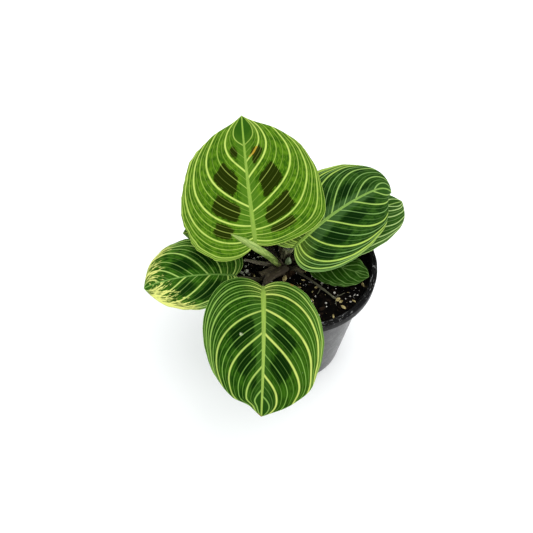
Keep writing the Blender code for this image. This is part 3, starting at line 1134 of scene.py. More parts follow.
@dataclass
class Half:
    """The flat grid of half a blade in millimetres, with a vein in each row."""

    side: Side
    phases: np.ndarray
    stations: np.ndarray
    index: np.ndarray
    flat: np.ndarray

    def __post_init__(self) -> None:
        """Measures the way from the midrib, the gap between main veins and the way to the margin."""
        along = np.gradient(self.flat, axis=1)
        beside = np.gradient(self.flat, self.phases, axis=0)
        size = np.linalg.norm(along, axis=-1)
        area = np.abs(along[..., 0] * beside[..., 1] - along[..., 1] * beside[..., 0])
        margin = np.vstack([self.flat[0], self.flat[:, -1]])
        self.phase = np.repeat(self.phases[:, None], len(self.stations), 1)
        self.run = np.cumsum(size, 1) - size
        self.total = self.run[:, -1:]
        self.gap = area / np.maximum(size, 1e-6)
        self.edge = np.linalg.norm(self.flat[:, :, None] - margin, axis=-1).min(-1)


LANE_SHIFT = 1.6
INNER_SOFT = (-1.2, 1.6)
INNER_START = (6.0, 22.0)
TIP_ZONE = (0.66, 0.86)
TIP_INSIDE = (0.75, 1.0)
RUFFLE_END = (0.03, 0.22)
QUILT_START = (0.0, 0.12)
QUILT_END = (0.7, 1.0)
RIPPLE_BAND = (0.0, 9.0)
RIPPLE_START = (0.1, 0.5)
SWELL_BAND = (0.0, 5.0)
SWELL_START = (0.05, 0.3)
THIN_BAND = (0.0, 2.0)
GROOVE_WIDTH = 0.8
NOISE_STEP = 31.0
BLOTCH_CORNER = 0.9
MARK_LIMIT = 4.0
YELLOW_LIMIT = 9.0


@dataclass
class Blade:
    """One leaf blade with its midrib, veins and marks."""

    name: str
    shape: LeafShape
    markings: Markings
    finish: LeafFinish
    slot: str
    seed: int
    rows: int = 12
    columns: int = 30
    thickness: float = 0.5
    thin_margin: float = 0.55
    quilt: float = 0.17
    full_gap: float = 7.0
    second_pillow: float = 0.45
    groove: float = 0.10
    ripple: float = 0.35
    ripples: float = 5.3
    scallop: float = 0.15
    ruffle: Pair = (0.3, 0.3)
    swells: Pair = (13.0, 5.0)
    curls: tuple[Curl, ...] = ()
    pulls: tuple[Pull, ...] = ()
    rib_sides: int = 14
    rib_rings: int = 46
    rib_ends: Pair = (-0.008, 0.985)

    def half(self, side: Side) -> Half:
        """The flat grid of one half."""
        mains = self.markings.mains(side)
        count = len(mains) - 1
        phases = np.linspace(0, count, count * self.rows + 1)
        stations = np.linspace(0, 1, self.columns + 1) ** 1.25
        index = np.interp(phases, np.arange(len(mains)), mains)
        across, back = np.moveaxis(self.shape.outline.veins(index, stations), -1, 0)
        back = np.where(back < 0, back * side.pick(*self.shape.lobes), back)
        for pull in self.pulls:
            if pull.side is side:
                across = across * pull.share(back)
        flat = stacked(side.value * side.pick(*self.shape.widths) * across, self.shape.length * back)
        return Half(side, phases, stations, index, flat)

    def blotch_depth(self, half: Half, shift: np.ndarray) -> np.ndarray:
        """Millimetres inside the dark marks, negative outside.

        Args:
            half: The half.
            shift: How far each lane is drawn outward, in millimetres.

        Returns:
            One value for each point.
        """
        depth = np.full(half.run.shape, -MARK_LIMIT)
        for blotch in self.markings.blotches:
            if blotch.side is half.side:
                beside = half.phase - blotch.vein
                inside = np.minimum(beside - blotch.first, blotch.last - beside) * half.gap
                near = (half.stations - blotch.near) * half.total + shift
                far = (blotch.far - half.stations) * half.total - shift * 0.7
                joined = sum(np.exp(-np.clip(edge, -6, 9) / BLOTCH_CORNER) for edge in (inside, near, far))
                here = (beside >= 0) & (beside <= 1)
                depth = np.where(here, np.maximum(depth, -BLOTCH_CORNER * np.log(joined)), depth)
        return np.clip(depth, -MARK_LIMIT, MARK_LIMIT)

    def yellow_depth(self, half: Half) -> np.ndarray:
        """Millimetres inside the yellow margin, negative outside."""
        limits = half.side.pick(self.markings.yellow_left, self.markings.yellow_right)
        if not limits:
            return np.full(half.run.shape, -YELLOW_LIMIT)
        start = np.interp(half.index, *zip(*limits))[:, None]
        from_tip = np.linalg.norm(half.flat - [0.0, self.shape.length], axis=-1)
        clear = (from_tip - self.markings.green_tip) * 1.5
        return np.clip(np.minimum((half.stations - start) * half.total, clear), -YELLOW_LIMIT, YELLOW_LIMIT)

    def spot_depth(self, half: Half, spots: tuple[Spot, ...]) -> np.ndarray:
        """Millimetres inside the small marks of a kind, negative outside."""
        depth = np.full(half.run.shape, -MARK_LIMIT)
        scale = np.array([half.side.value * half.side.pick(*self.shape.widths), self.shape.length])
        for spot in spots:
            if spot.side is half.side:
                centre = self.shape.outline.veins([spot.vein], [spot.station])[0, 0] * scale
                depth = np.maximum(depth, spot.radius - np.linalg.norm(half.flat - centre, axis=-1))
        return depth

    def measures(self, half: Half) -> dict[str, np.ndarray]:
        """What the finish reads at each point of one half.

        Args:
            half: The half.

        Returns:
            Grids of three numbers by name.
        """
        marks, side, phase, run = self.markings, half.side, half.phase, half.run
        share = half.flat[..., 1] / self.shape.length
        bright = side.pick(marks.left_bright, marks.right_bright)
        level = np.interp(phase, np.arange(len(bright) + 2), [bright[0] * 0.4, *bright, bright[-1] * 0.6])
        chance = random.Random(self.seed * 7 + side.value)
        lanes = np.floor(phase * 4).astype(int)
        shift = np.array([chance.uniform(-LANE_SHIFT, LANE_SHIFT) for _ in range(lanes.max() + 2)])[lanes]
        notch = np.linalg.norm(half.flat, axis=-1)
        reach = marks.inner * (1 - 0.35 * share) + shift - run
        inner = step_up(reach, *INNER_SOFT) * step_up(notch, *INNER_START)
        tip = step_up(half.index, *TIP_ZONE)[:, None] * (1 - step_up(half.stations, *TIP_INSIDE))
        last = len(marks.mains(side)) - 2
        bare = last - side.pick(*marks.bare_lanes)
        fine = 1 - 0.7 * step_up(phase, bare - 0.05, bare + 0.05)
        fine = fine - 0.3 * step_up(phase, last - 0.1, last + 0.3)
        level = level * (1 - step_up(phase, last + 0.3, last + 0.6))
        from_rib = np.abs(half.flat[..., 0]) / marks.rib_width(share)
        flecks, scorches = self.spot_depth(half, marks.flecks), self.spot_depth(half, marks.scorches)
        return {
            "vein": stacked(phase, run, half.gap),
            "place": stacked(from_rib, half.edge, level),
            "zones": stacked(inner, tip, half.stations),
            "marks": stacked(self.blotch_depth(half, shift), notch, self.yellow_depth(half)),
            "flaws": stacked(flecks, scorches, fine),
        }

    def add_half(self, form: Form, side: Side) -> None:
        """Adds one half as a thin closed sheet, quilted between its veins.

        Args:
            form: Where it goes.
            side: Which half.
        """
        half = self.half(side)
        flat, edge, phase, gap, stations = half.flat, half.edge, half.phase, half.gap, half.stations
        calm = step_up(stations, *QUILT_START) * (1 - step_up(stations, *QUILT_END))
        first, second = (np.abs(np.sin(math.pi * count * phase)) ** 0.8 for count in (1, 2))
        pillow = first + self.second_pillow * second
        relief = self.quilt * (pillow - 0.7) * np.clip(gap / self.full_gap, 0, 1) * calm
        swing = np.sin(math.tau * (flat[..., 1] / self.shape.length * self.ripples + self.seed * 0.37))
        near_edge = 1 - step_up(edge, *RIPPLE_BAND)
        relief += self.ripple * swing * near_edge * step_up(stations, *RIPPLE_START)
        places = np.insert(flat.reshape(-1, 2), 2, self.seed * NOISE_STEP, 1)
        coarse, fine = (wobble(places, scale, 1).reshape(edge.shape) for scale in self.swells)
        ruffle = side.pick(*self.ruffle) * (1 - step_up(half.index, *RUFFLE_END))[:, None]
        swell = self.scallop * coarse + ruffle * fine
        swell = swell * (1 - step_up(edge, *SWELL_BAND)) * step_up(stations, *SWELL_START)
        outward = flat / np.maximum(np.linalg.norm(flat, axis=-1, keepdims=True), 1)
        flat = flat + outward * swell[..., None]
        for curl in self.curls:
            if curl.side is side:
                flat, rise = curl.bent(flat)
                relief = relief + rise
        top, normal = self.shape.bend(flat), self.shape.normal(flat)
        thick = self.thickness * (self.thin_margin + (1 - self.thin_margin) * step_up(edge, *THIN_BAND))
        from_vein = (phase - np.round(phase)) * gap
        low = relief - thick - self.groove * np.exp(-((from_vein / GROOVE_WIDTH) ** 2))
        upper, lower = (top + normal * height[..., None] for height in (relief, low))
        form.add_sheet(upper, lower, side is Side.LEFT, **self.measures(half))

    def add_midrib(self, form: Form) -> None:
        """Adds the midrib, flat above and round below."""
        shares = np.linspace(*self.rib_ends, self.rib_rings)
        along = shares * self.shape.length
        flat = stacked(0.0, along)
        centre, up = self.shape.bend(flat), self.shape.normal(flat)
        right = np.cross(unit(np.gradient(centre, axis=0)), up)
        share = np.arange(self.rib_sides) / self.rib_sides
        turn = share * math.tau
        body = np.clip(1 - shares, 0, 1)[:, None]
        tall, deep = 0.10 + 0.20 * body, self.thickness + 0.15 + body
        height = np.sin(turn) * np.where(np.sin(turn) > 0, tall, deep)
        half = self.markings.rib_width(shares)[:, None] * np.cos(turn)
        ring = centre[:, None] + right[:, None] * half[..., None] + up[:, None] * height[..., None]
        values = stacked(share * 6, along[:, None], step_up(-np.sin(turn), 0.05, 0.5))
        faces = tube_faces(self.rib_rings, self.rib_sides, turned=True)
        form.add(ring.reshape(-1, 3), faces, 2, rib=values.reshape(-1, 3))

    def build(self) -> list[bpy.types.Object]:
        """Makes the blade.

        Returns:
            The piece, which stands for the node of the same leaf.
        """
        form = Form()
        for side in Side:
            self.add_half(form, side)
        self.add_midrib(form)
        finishes = [self.finish.upper(), self.finish.lower(), self.finish.rib()]
        made = form.build("blade_" + self.name, finishes, sharp=55.0)
        return [place(made, self.slot, "leaf_" + self.name)]


@dataclass(frozen=True)
class Section:
    """The cross-section of a body that is swept along a path.

    It holds the vertices around, the rings for each step of the path, the direction of the
    half width, the step of the radius at a seam and the number and height of the ribs. The
    last two are shares of the radius.
    """

    sides: int
    rings: int
    hint: Point
    seam: float = 0.0
    ribs: tuple[int, float] = (0, 0.0)

    def sweep(self, path: np.ndarray, sizes: np.ndarray) -> tuple[np.ndarray, Faces, np.ndarray]:
        """A closed round or oval body along a smooth path.

        Args:
            path: Points in millimetres.
            sizes: Half width and half height at each.

        Returns:
            Vertices, faces, and each vertex's place around, along in millimetres and as a share.
        """
        line = smooth_line(np.hstack([path, sizes]), self.rings)
        centre, sizes = line[:, :3], np.maximum(line[:, 3:], 0.02)
        tangent = unit(np.gradient(centre, axis=0))
        wide = unit(self.hint - tangent * (tangent @ self.hint)[:, None])
        tall = np.cross(tangent, wide)
        share = np.arange(self.sides) / self.sides
        count, height = self.ribs
        turn = share * math.tau
        swell = 1 + self.seam * (share - 0.5) + height * np.cos(count * turn)
        across, above = sizes[:, :1] * np.cos(turn) * swell, sizes[:, 1:] * np.sin(turn) * swell
        ring = centre[:, None] + wide[:, None] * across[..., None] + tall[:, None] * above[..., None]
        run = np.concatenate([[0], np.cumsum(np.linalg.norm(np.diff(centre, axis=0), axis=1))])[:, None]
        values = stacked(share, run, run / run[-1])
        return ring.reshape(-1, 3), tube_faces(len(line), self.sides), values.reshape(-1, 3)


@dataclass
class Stalk:
    """A leaf stalk with the sheath at its foot, from the crown to the notch of its blade."""

    name: str
    points: tuple[Point, ...]
    widths: tuple[float, ...]
    finish: StalkFinish
    blade: LeafShape
    flat: float = 0.72
    hint: Point = (0.6, 0.6, 0.0)
    sink: float = 4.0
    under_blade: float = 1.5
    blade_share: float = 0.04
    end_width: float = 0.75

    def build(self) -> list[bpy.types.Object]:
        """Makes the stalk.

        Returns:
            The piece, which stands for the node of the same stalk.
        """
        first, second = np.array(self.points[:2])
        foot = first + unit(first - second) * self.sink
        ends = np.array([[0.0, -self.under_blade], [0.0, self.blade_share * self.blade.length]])
        head = self.blade.bend(ends) - self.blade.normal(ends) * self.under_blade
        widths = np.array([self.widths[0] * 0.9, *self.widths, self.widths[-1] * 0.75, self.end_width])
        heights = widths * (self.flat + (1 - self.flat) * np.linspace(0, 1, len(widths)))
        section = Section(sides=22, rings=8, hint=self.hint, ribs=(9, 0.035))
        path = np.vstack([foot, self.points, head])
        points, faces, values = section.sweep(path, stacked(widths, heights))
        form = Form()
        form.add(points, faces, stalk=values)
        made = form.build("stalk_" + self.name, [self.finish.material()])
        return [place(made, "petiole", "petiole_" + self.name)]


@dataclass
class RolledLeaf:
    """The pale new leaf, still rolled up round its own seam."""

    path: tuple[Point, ...] = (
        (-9.6, 0.8, 86.0), (-12.2, -2.6, 93.8), (-19.0, -11.4, 114.0),
        (-26.6, -21.6, 134.0), (-34.4, -24.6, 144.5), (-42.2, -26.2, 152.0),
    )
    widths: tuple[float, ...] = (2.4, 2.9, 3.0, 2.7, 1.9, 0.3)
    heights: tuple[float, ...] = (1.8, 2.2, 2.3, 2.3, 1.9, 0.3)
    section: Section = Section(sides=30, rings=10, hint=(0.55, -0.65, 0.3), seam=0.16, ribs=(6, 0.02))
    finish: StalkFinish = StalkFinish(
        "new_leaf", foot=(52, 46, 24), head=(108, 134, 60), streak=(158, 178, 98), change=(0.17, 0.31),
        roughness=0.5, ribs=6.0, streaks=(0.42, 0.62), plain_foot=0.24,
    )

    def build(self) -> list[bpy.types.Object]:
        """Makes the rolled leaf.

        Returns:
            The piece.
        """
        form = Form()
        points, faces, values = self.section.sweep(self.path, stacked(self.widths, self.heights))
        form.add(points, faces, stalk=values)
        return [place(form.build("rolled_leaf", [self.finish.material()], 60.0), "new_leaf", "new_leaf")]


def ball(level: int) -> Shell:
    """A unit sphere of triangles, subdivided level times."""
    shape = bmesh.new()
    bmesh.ops.create_icosphere(shape, subdivisions=level, radius=1.0)
    points = np.array([vertex.co[:] for vertex in shape.verts])
    faces = [tuple(vertex.index for vertex in face.verts) for face in shape.faces]
    shape.free()
    return points, faces


BALLS = {level: ball(level) for level in (1, 2)}


def lump(centre: Point, radius: float, chance: random.Random, stretch: Point, level: int) -> Shell:
    """An uneven grain.

    Args:
        centre: Its middle.
        radius: Its mean radius.
        chance: Source of the random draws.
        stretch: Scale along its own three axes.
        level: Number of subdivisions.

    Returns:
        Vertices and faces.
    """
    points, faces = BALLS[level]
    swell = np.array([chance.uniform(0.74, 1.2) for _ in points])
    shaped = points * swell[:, None] * np.array(stretch) * radius
    spin = Matrix.Rotation(chance.uniform(0, math.tau), 3, "Z")
    lean = Matrix.Rotation(chance.uniform(-0.5, 0.5), 3, "X")
    return shaped @ np.array(spin @ lean).T + centre, faces


@dataclass
class DryParts:
    """The withered stalk and the thin dry runner that lies on the soil."""

    stub: tuple[Point, ...] = (
        (-13.6, -1.4, 91.6), (-17.0, -1.8, 92.9), (-27.3, -3.0, 96.5), (-35.6, -3.7, 100.0),
    )
    stub_widths: tuple[float, ...] = (1.9, 1.6, 1.3, 0.8)
    stub_section: Section = Section(sides=18, rings=8, hint=(0.1, 1.0, 0.0), seam=0.2, ribs=(5, 0.08))
    runner: tuple[Point, ...] = (
        (-1.0, -4.4, 90.6), (3.4, -7.2, 90.3), (9.0, -11.6, 90.6), (15.3, -16.9, 90.1),
        (20.4, -21.4, 90.0), (24.2, -24.8, 89.5), (28.3, -27.0, 89.3),
    )
    runner_widths: tuple[float, ...] = (1.1, 1.0, 0.85, 0.9, 0.65, 0.7, 0.4)
    runner_section: Section = Section(sides=14, rings=8, hint=(0.5, 0.8, 0.0), ribs=(4, 0.06))
    rootlets: tuple[tuple[Point, ...], ...] = (
        ((15.3, -16.9, 90.1), (15.0, -19.4, 90.0), (13.4, -22.4, 89.4)),
        ((15.3, -16.9, 90.1), (17.0, -15.0, 90.6), (17.4, -13.2, 90.2)),
        ((24.2, -24.8, 89.5), (28.0, -23.4, 90.2), (31.6, -20.8, 89.6)),
        ((26.4, -26.0, 89.5), (25.4, -28.0, 89.6), (25.8, -30.2, 89.2)),
    )
    rootlet_widths: tuple[float, ...] = (0.42, 0.34, 0.2)
    rootlet_section: Section = Section(sides=8, rings=6, hint=(0.0, 0.0, 1.0))
    husks: tuple[tuple[Point, float], ...] = (
        ((26.6, -26.4, 89.6), 1.5), ((28.9, -27.6, 89.4), 1.25),
        ((27.9, -25.4, 89.4), 0.9), ((16.4, -18.0, 90.0), 0.8),
    )
    seed: int = 3
    stub_finish: StalkFinish = StalkFinish(
        "dry_stalk", foot=(60, 52, 42), head=(122, 114, 98), streak=(160, 152, 132), change=(0.05, 0.55),
        roughness=0.8,
    )
    runner_finish: StalkFinish = StalkFinish(
        "dry_runner", foot=(56, 54, 42), head=(84, 84, 66), streak=(116, 114, 92), change=(0.1, 0.9),
        roughness=0.85,
    )
    husk_finish: GrainFinish = GrainFinish(
        "dry_husk", dark=(110, 96, 52), light=(208, 196, 140),
        patch_scale=420.0, grain_scale=1600.0, relief=0.25,
    )

    def build(self) -> list[bpy.types.Object]:
        """Makes the withered stalk, and the runner with the husks at its joint and its end.

        Returns:
            The two pieces.
        """
        stub = Form()
        widths = np.array(self.stub_widths)
        points, faces, values = self.stub_section.sweep(self.stub, stacked(widths, widths * 0.6))
        stub.add(points + wobble(points, 3.0)[:, None] * 0.12, faces, stalk=values)
        runner = Form()
        sizes = stacked(self.runner_widths, self.runner_widths)
        points, faces, values = self.runner_section.sweep(self.runner, sizes)
        runner.add(points + wobble(points, 2.2)[:, None] * [0.18, 0.18, 0.1], faces, stalk=values)
        sizes = stacked(self.rootlet_widths, self.rootlet_widths)
        for path in self.rootlets:
            points, faces, values = self.rootlet_section.sweep(path, sizes)
            runner.add(points + wobble(points, 1.5)[:, None] * 0.15, faces, stalk=values)
        chance = random.Random(self.seed)
        for centre, radius in self.husks:
            runner.add(*lump(centre, radius, chance, (1.0, 0.75, 0.6), 2), 1)
        finishes = [self.runner_finish.material(), self.husk_finish.material()]
        return [
            place(stub.build("dry_stub", [self.stub_finish.material()]), "dry_stalk", "dry_petiole"),
            place(runner.build("runner", finishes), "dry_stalk", "dry_runner"),
        ]


@dataclass(frozen=True)
class Grains:
    """A kind of loose grain on the soil, strewn at random, with some placed by x, y and radius."""

    kind: Speck
    finish: GrainFinish
    count: int
    sizes: Pair
    stretch: Point
    level: int
    sharp: float
    placed: tuple[Point, ...] = ()
    lift: float = 0.0
    placed_stretch: Point = (1.0, 1.0, 1.0)


PERLITE = Grains(
    Speck.PERLITE,
    GrainFinish(
        "perlite", dark=(140, 136, 126), light=(222, 219, 210),
        patch_scale=180.0, grain_scale=900.0, relief=0.1,
    ),
    count=420, sizes=(0.18, 1.1), stretch=(1.0, 0.9, 0.7), level=2, sharp=60.0,
    lift=0.7, placed_stretch=(1.2, 0.8, 0.7),
    placed=((-33.9, -4.2, 1.5), (-37.3, -5.2, 1.1), (-38.0, 3.4, 1.0), (-29.6, 6.6, 0.9)),
)
BARK = Grains(
    Speck.BARK,
    GrainFinish(
        "bark", dark=(3, 2, 2), light=(40, 30, 21), patch_scale=260.0, grain_scale=1500.0, relief=0.35,
    ),
    count=520, sizes=(0.5, 2.0), stretch=(1.5, 0.8, 0.5), level=1, sharp=30.0,
)
STRAW = Grains(
    Speck.STRAW,
    GrainFinish(
        "straw", dark=(118, 98, 56), light=(214, 200, 140),
        patch_scale=420.0, grain_scale=2200.0, relief=0.25,
    ),
    count=80, sizes=(0.25, 1.1), stretch=(1.5, 0.7, 0.5), level=2, sharp=50.0,
    lift=0.9, placed_stretch=(1.3, 0.6, 0.45),
    placed=(
        (-8.4, -9.8, 2.4), (6.1, -2.6, 1.5), (4.1, -11.1, 1.0), (40.7, -9.4, 1.9),
        (44.6, -11.4, 1.7), (45.2, 3.6, 0.9), (30.6, -30.6, 1.5), (23.8, -38.0, 1.2),
    ),
)


@dataclass
class Soil:
    """Potting mix with its crumbs, white perlite and bits of straw."""

    edge_z: float = 86.0
    centre_z: float = 88.6
    radius: float = 46.9
    floor_radius: float = 35.9
    floor_z: float = 1.9
    wall_drop: float = 3.0
    axis: float = 0.01
    first_ring: float = 0.9
    rings: int = 62
    sides: int = 150
    rough: float = 0.9
    crumbs: float = 0.35
    crown: Pair = (-9.0, -0.5)
    crown_clear: float = 9.0
    wall_clear: float = 1.2
    grains: tuple[Grains, ...] = (PERLITE, BARK, STRAW)
    seed: int = 11
    finish: GrainFinish = GrainFinish(
        "soil", dark=(1, 1, 1), light=(13, 10, 7),
        patch_scale=300.0, grain_scale=1400.0, relief=0.5, roughness=0.95,
    )

    def height(self, x: float, y: float) -> float:
        """Mean height of the soil at a place."""
        share = min(1.0, math.hypot(x, y) / self.radius)
        return self.centre_z + (self.edge_z - self.centre_z) * share**2

    def surface(self, places: np.ndarray) -> np.ndarray:
        """Height of the crumbly surface at rows of x and y."""
        flat = np.insert(places, 2, 0.0, 1)
        mean = np.array([self.height(x, y) for x, y in places])
        return mean + (self.rough * wobble(flat, 6.0, 4) + self.crumbs * np.abs(wobble(flat, 1.8, 2)))

    def build_bed(self) -> bpy.types.Object:
        """Makes the body of soil.

        Returns:
            The piece, which stands for the solid soil.
        """
        radii = [self.axis, *np.linspace(self.first_ring, self.radius, self.rings)]
        profile = [(radius, 0.0) for radius in radii]
        for share in (1.0, 0.5, 0.0):
            radius = self.floor_radius + (self.radius - self.floor_radius) * share
            profile.append((radius, self.floor_z + (self.edge_z - self.wall_drop - self.floor_z) * share))
        profile.append((self.axis, self.floor_z))
        points = revolved(profile, self.sides)
        top = points[: len(radii) * self.sides]
        top[:, 2] = self.surface(top[:, :2])
        form = Form()
        form.add(points, tube_faces(len(profile), self.sides, turned=True))
        return place(form.build("potting_mix", [self.finish.material()], 80.0), "soil", "soil")

    def build_grains(self, grains: Grains, chance: random.Random) -> bpy.types.Object:
        """Makes the loose grains of one kind, clear of the crown.

        Args:
            grains: The kind.
            chance: Source of the random draws.

        Returns:
            The piece.
        """
        form = Form()
        low, high = grains.sizes
        for _ in range(grains.count):
            distance = (self.radius - self.wall_clear) * math.sqrt(chance.random())
            angle = chance.uniform(0, math.tau)
            x, y = distance * math.cos(angle), distance * math.sin(angle)
            radius = low + (high - low) * chance.random() ** 2.2
            stretch = tuple(chance.uniform(0.7, 1.0) * size for size in grains.stretch)
            if math.hypot(x - self.crown[0], y - self.crown[1]) > self.crown_clear:
                z = float(self.surface(np.array([[x, y]]))[0]) + radius * 0.25
                form.add(*lump((x, y, z), radius, chance, stretch, grains.level))
        for x, y, radius in grains.placed:
            centre = (x, y, self.height(x, y) + grains.lift)
            form.add(*lump(centre, radius, chance, grains.placed_stretch, grains.level))
        return place(form.build(grains.kind.value, [grains.finish.material()], grains.sharp), "soil")

    def build(self) -> list[bpy.types.Object]:
        """Makes the soil and its loose grains.

        Returns:
            The bed, and a piece for each kind of grain.
        """
        chance = random.Random(self.seed)
        return [self.build_bed(), *(self.build_grains(grains, chance) for grains in self.grains)]


@dataclass
class Crown:
    """The brown base of the plant with the dry ends of old sheaths, and the small bud.

    A sheath has three points and its width at the foot and at the head. A bud scale has its
    foot and its tip, both from the bud's middle, and its size.
    """

    centre: Pair = (-9.0, -0.5)
    radius: float = 9.4
    foot_z: float = 74.0
    edge_z: float = 88.0
    top_z: float = 91.6
    sides: int = 72
    bud: Point = (-6.4, 0.2, 94.6)
    bud_radius: float = 2.15
    bud_sink: float = 1.8
    bud_section: Section = Section(sides=26, rings=2, hint=(1.0, -0.4, 0.0), seam=0.34, ribs=(4, 0.03))
    bud_scales: tuple[tuple[Point, Point, float], ...] = (
        ((0.0, 0.0, 0.0), (0.9, 1.5, 4.9), 1.0),
        ((-0.7, -0.4, -0.5), (-0.5, 0.7, 3.3), 0.78),
        ((0.8, 0.3, -0.4), (1.7, 1.0, 3.6), 0.6),
    )
    sheaths: tuple[tuple[Point, Point, Point, float, float], ...] = (
        ((-6.0, -2.0, 90.0), (-0.5, -4.0, 92.6), (4.2, -6.8, 91.6), 2.2, 1.2),
        ((-11.0, -3.6, 91.0), (-17.6, -9.4, 95.4), (-23.6, -13.4, 95.2), 2.2, 4.2),
        ((-13.0, 1.0, 90.0), (-17.6, -0.6, 93.0), (-22.6, -1.8, 94.0), 2.3, 1.4),
        ((-9.0, 3.0, 90.0), (-10.6, 7.4, 95.0), (-11.8, 10.6, 99.4), 1.9, 1.3),
        ((-6.4, 2.0, 90.0), (-5.6, 6.0, 94.6), (-5.4, 9.6, 98.0), 1.9, 1.2),
        ((-5.0, 2.0, 90.0), (-2.6, 4.2, 93.0), (0.8, 6.0, 93.6), 1.9, 1.0),
        ((-9.0, -4.0, 90.0), (-9.6, -7.0, 92.6), (-9.4, -9.4, 92.0), 1.8, 1.3),
        ((-8.6, 0.2, 89.0), (-10.8, -1.4, 95.0), (-13.6, -4.6, 104.4), 2.6, 1.5),
        ((-8.6, -2.4, 90.6), (-11.6, -4.6, 95.2), (-14.6, -7.6, 101.6), 3.2, 1.0),
        ((-11.4, -2.4, 90.0), (-15.2, -6.0, 95.6), (-19.0, -9.2, 96.4), 2.2, 1.8),
        ((-2.0, -1.0, 90.0), (1.6, -1.8, 92.4), (5.0, -3.4, 92.0), 1.6, 0.9),
    )
    finish: GrainFinish = GrainFinish(
        "crown", dark=(14, 9, 6), light=(58, 43, 30),
        patch_scale=300.0, grain_scale=1500.0, relief=0.4, roughness=0.85,
    )
    sheath_finish: StalkFinish = StalkFinish(
        "old_sheath", foot=(36, 28, 21), head=(80, 72, 55), streak=(116, 106, 86), change=(0.1, 0.8),
        roughness=0.8,
    )
    bud_finish: StalkFinish = StalkFinish(
        "bud", foot=(98, 112, 74), head=(146, 166, 124), streak=(206, 216, 186), change=(0.1, 0.8),
        roughness=0.5, ribs=4.0, streaks=(0.5, 0.64),
    )

    def build_base(self) -> bpy.types.Object:
        """Makes the base with its sheaths.

        Returns:
            The piece.
        """
        profile = [(AXIS, self.foot_z), (self.radius * 0.9, self.foot_z)]
        profile += [(self.radius, self.foot_z + 3.0), (self.radius, self.edge_z - 1.0)]
        for angle in np.linspace(0.1, 1.5, 16):
            rise = (self.top_z - self.edge_z) * math.sin(angle)
            profile.append((self.radius * math.cos(angle), self.edge_z + rise))
        profile.append((AXIS, self.top_z))
        points = revolved(profile, self.sides)
        x, y, z = points.T
        folds = 0.15 * np.sin(11 * np.arctan2(y, x) + 0.3 * z)
        swell = step_up(z, 84.0, self.edge_z) * (0.9 * wobble(points, 4.0, 4) + folds)
        spread = points / self.radius * [1, 1, 0] + [0, 0, 0.4]
        points = points + swell[:, None] * spread + [*self.centre, 0]
        form = Form()
        form.add(points, tube_faces(len(profile), self.sides))
        for start, middle, end, foot, head in self.sheaths:
            sizes = np.array([[foot, foot * 0.6], [(foot + head) / 2, foot * 0.4], [head, 0.3]])
            along = np.array(end) - start
            aside = (-along[1], along[0], 0.0)
            section = Section(sides=26, rings=8, hint=aside, seam=0.2, ribs=(5, 0.06))
            points, faces, values = section.sweep([start, middle, end], sizes)
            torn = step_up(values[:, 2], 0.6, 1.0) * wobble(points, 1.6) * 2.4
            points = points + wobble(points, 2.5)[:, None] * 0.2 + torn[:, None] * unit(along)
            form.add(points, faces, 1, stalk=values)
        finishes = [self.finish.material(), self.sheath_finish.material()]
        return place(form.build("crown_base", finishes), "crown", "crown")

    def build_bud(self) -> bpy.types.Object:
        """Makes the bud, pointed scales that clasp each other.

        Returns:
            The piece.
        """
        form = Form()
        shares = np.linspace(0, 1, 15)[:, None]
        plump = np.maximum(0.05, np.sin(math.pi * (0.12 + 0.88 * shares) ** 0.75) ** 0.8)
        for foot, tip, size in self.bud_scales:
            start = np.array(self.bud) + foot - [0.0, 0.0, self.bud_sink]
            path = start + (np.array(tip) - foot) * shares
            sizes = plump * self.bud_radius * size * [[1.0, 0.8]]
            points, faces, values = self.bud_section.sweep(path, sizes)
            form.add(points, faces, stalk=values)
        return place(form.build("round_bud", [self.bud_finish.material()], 60.0), "bud", "bud")

    def build(self) -> list[bpy.types.Object]:
        """The base and the bud."""
        return [self.build_base(), self.build_bud()]


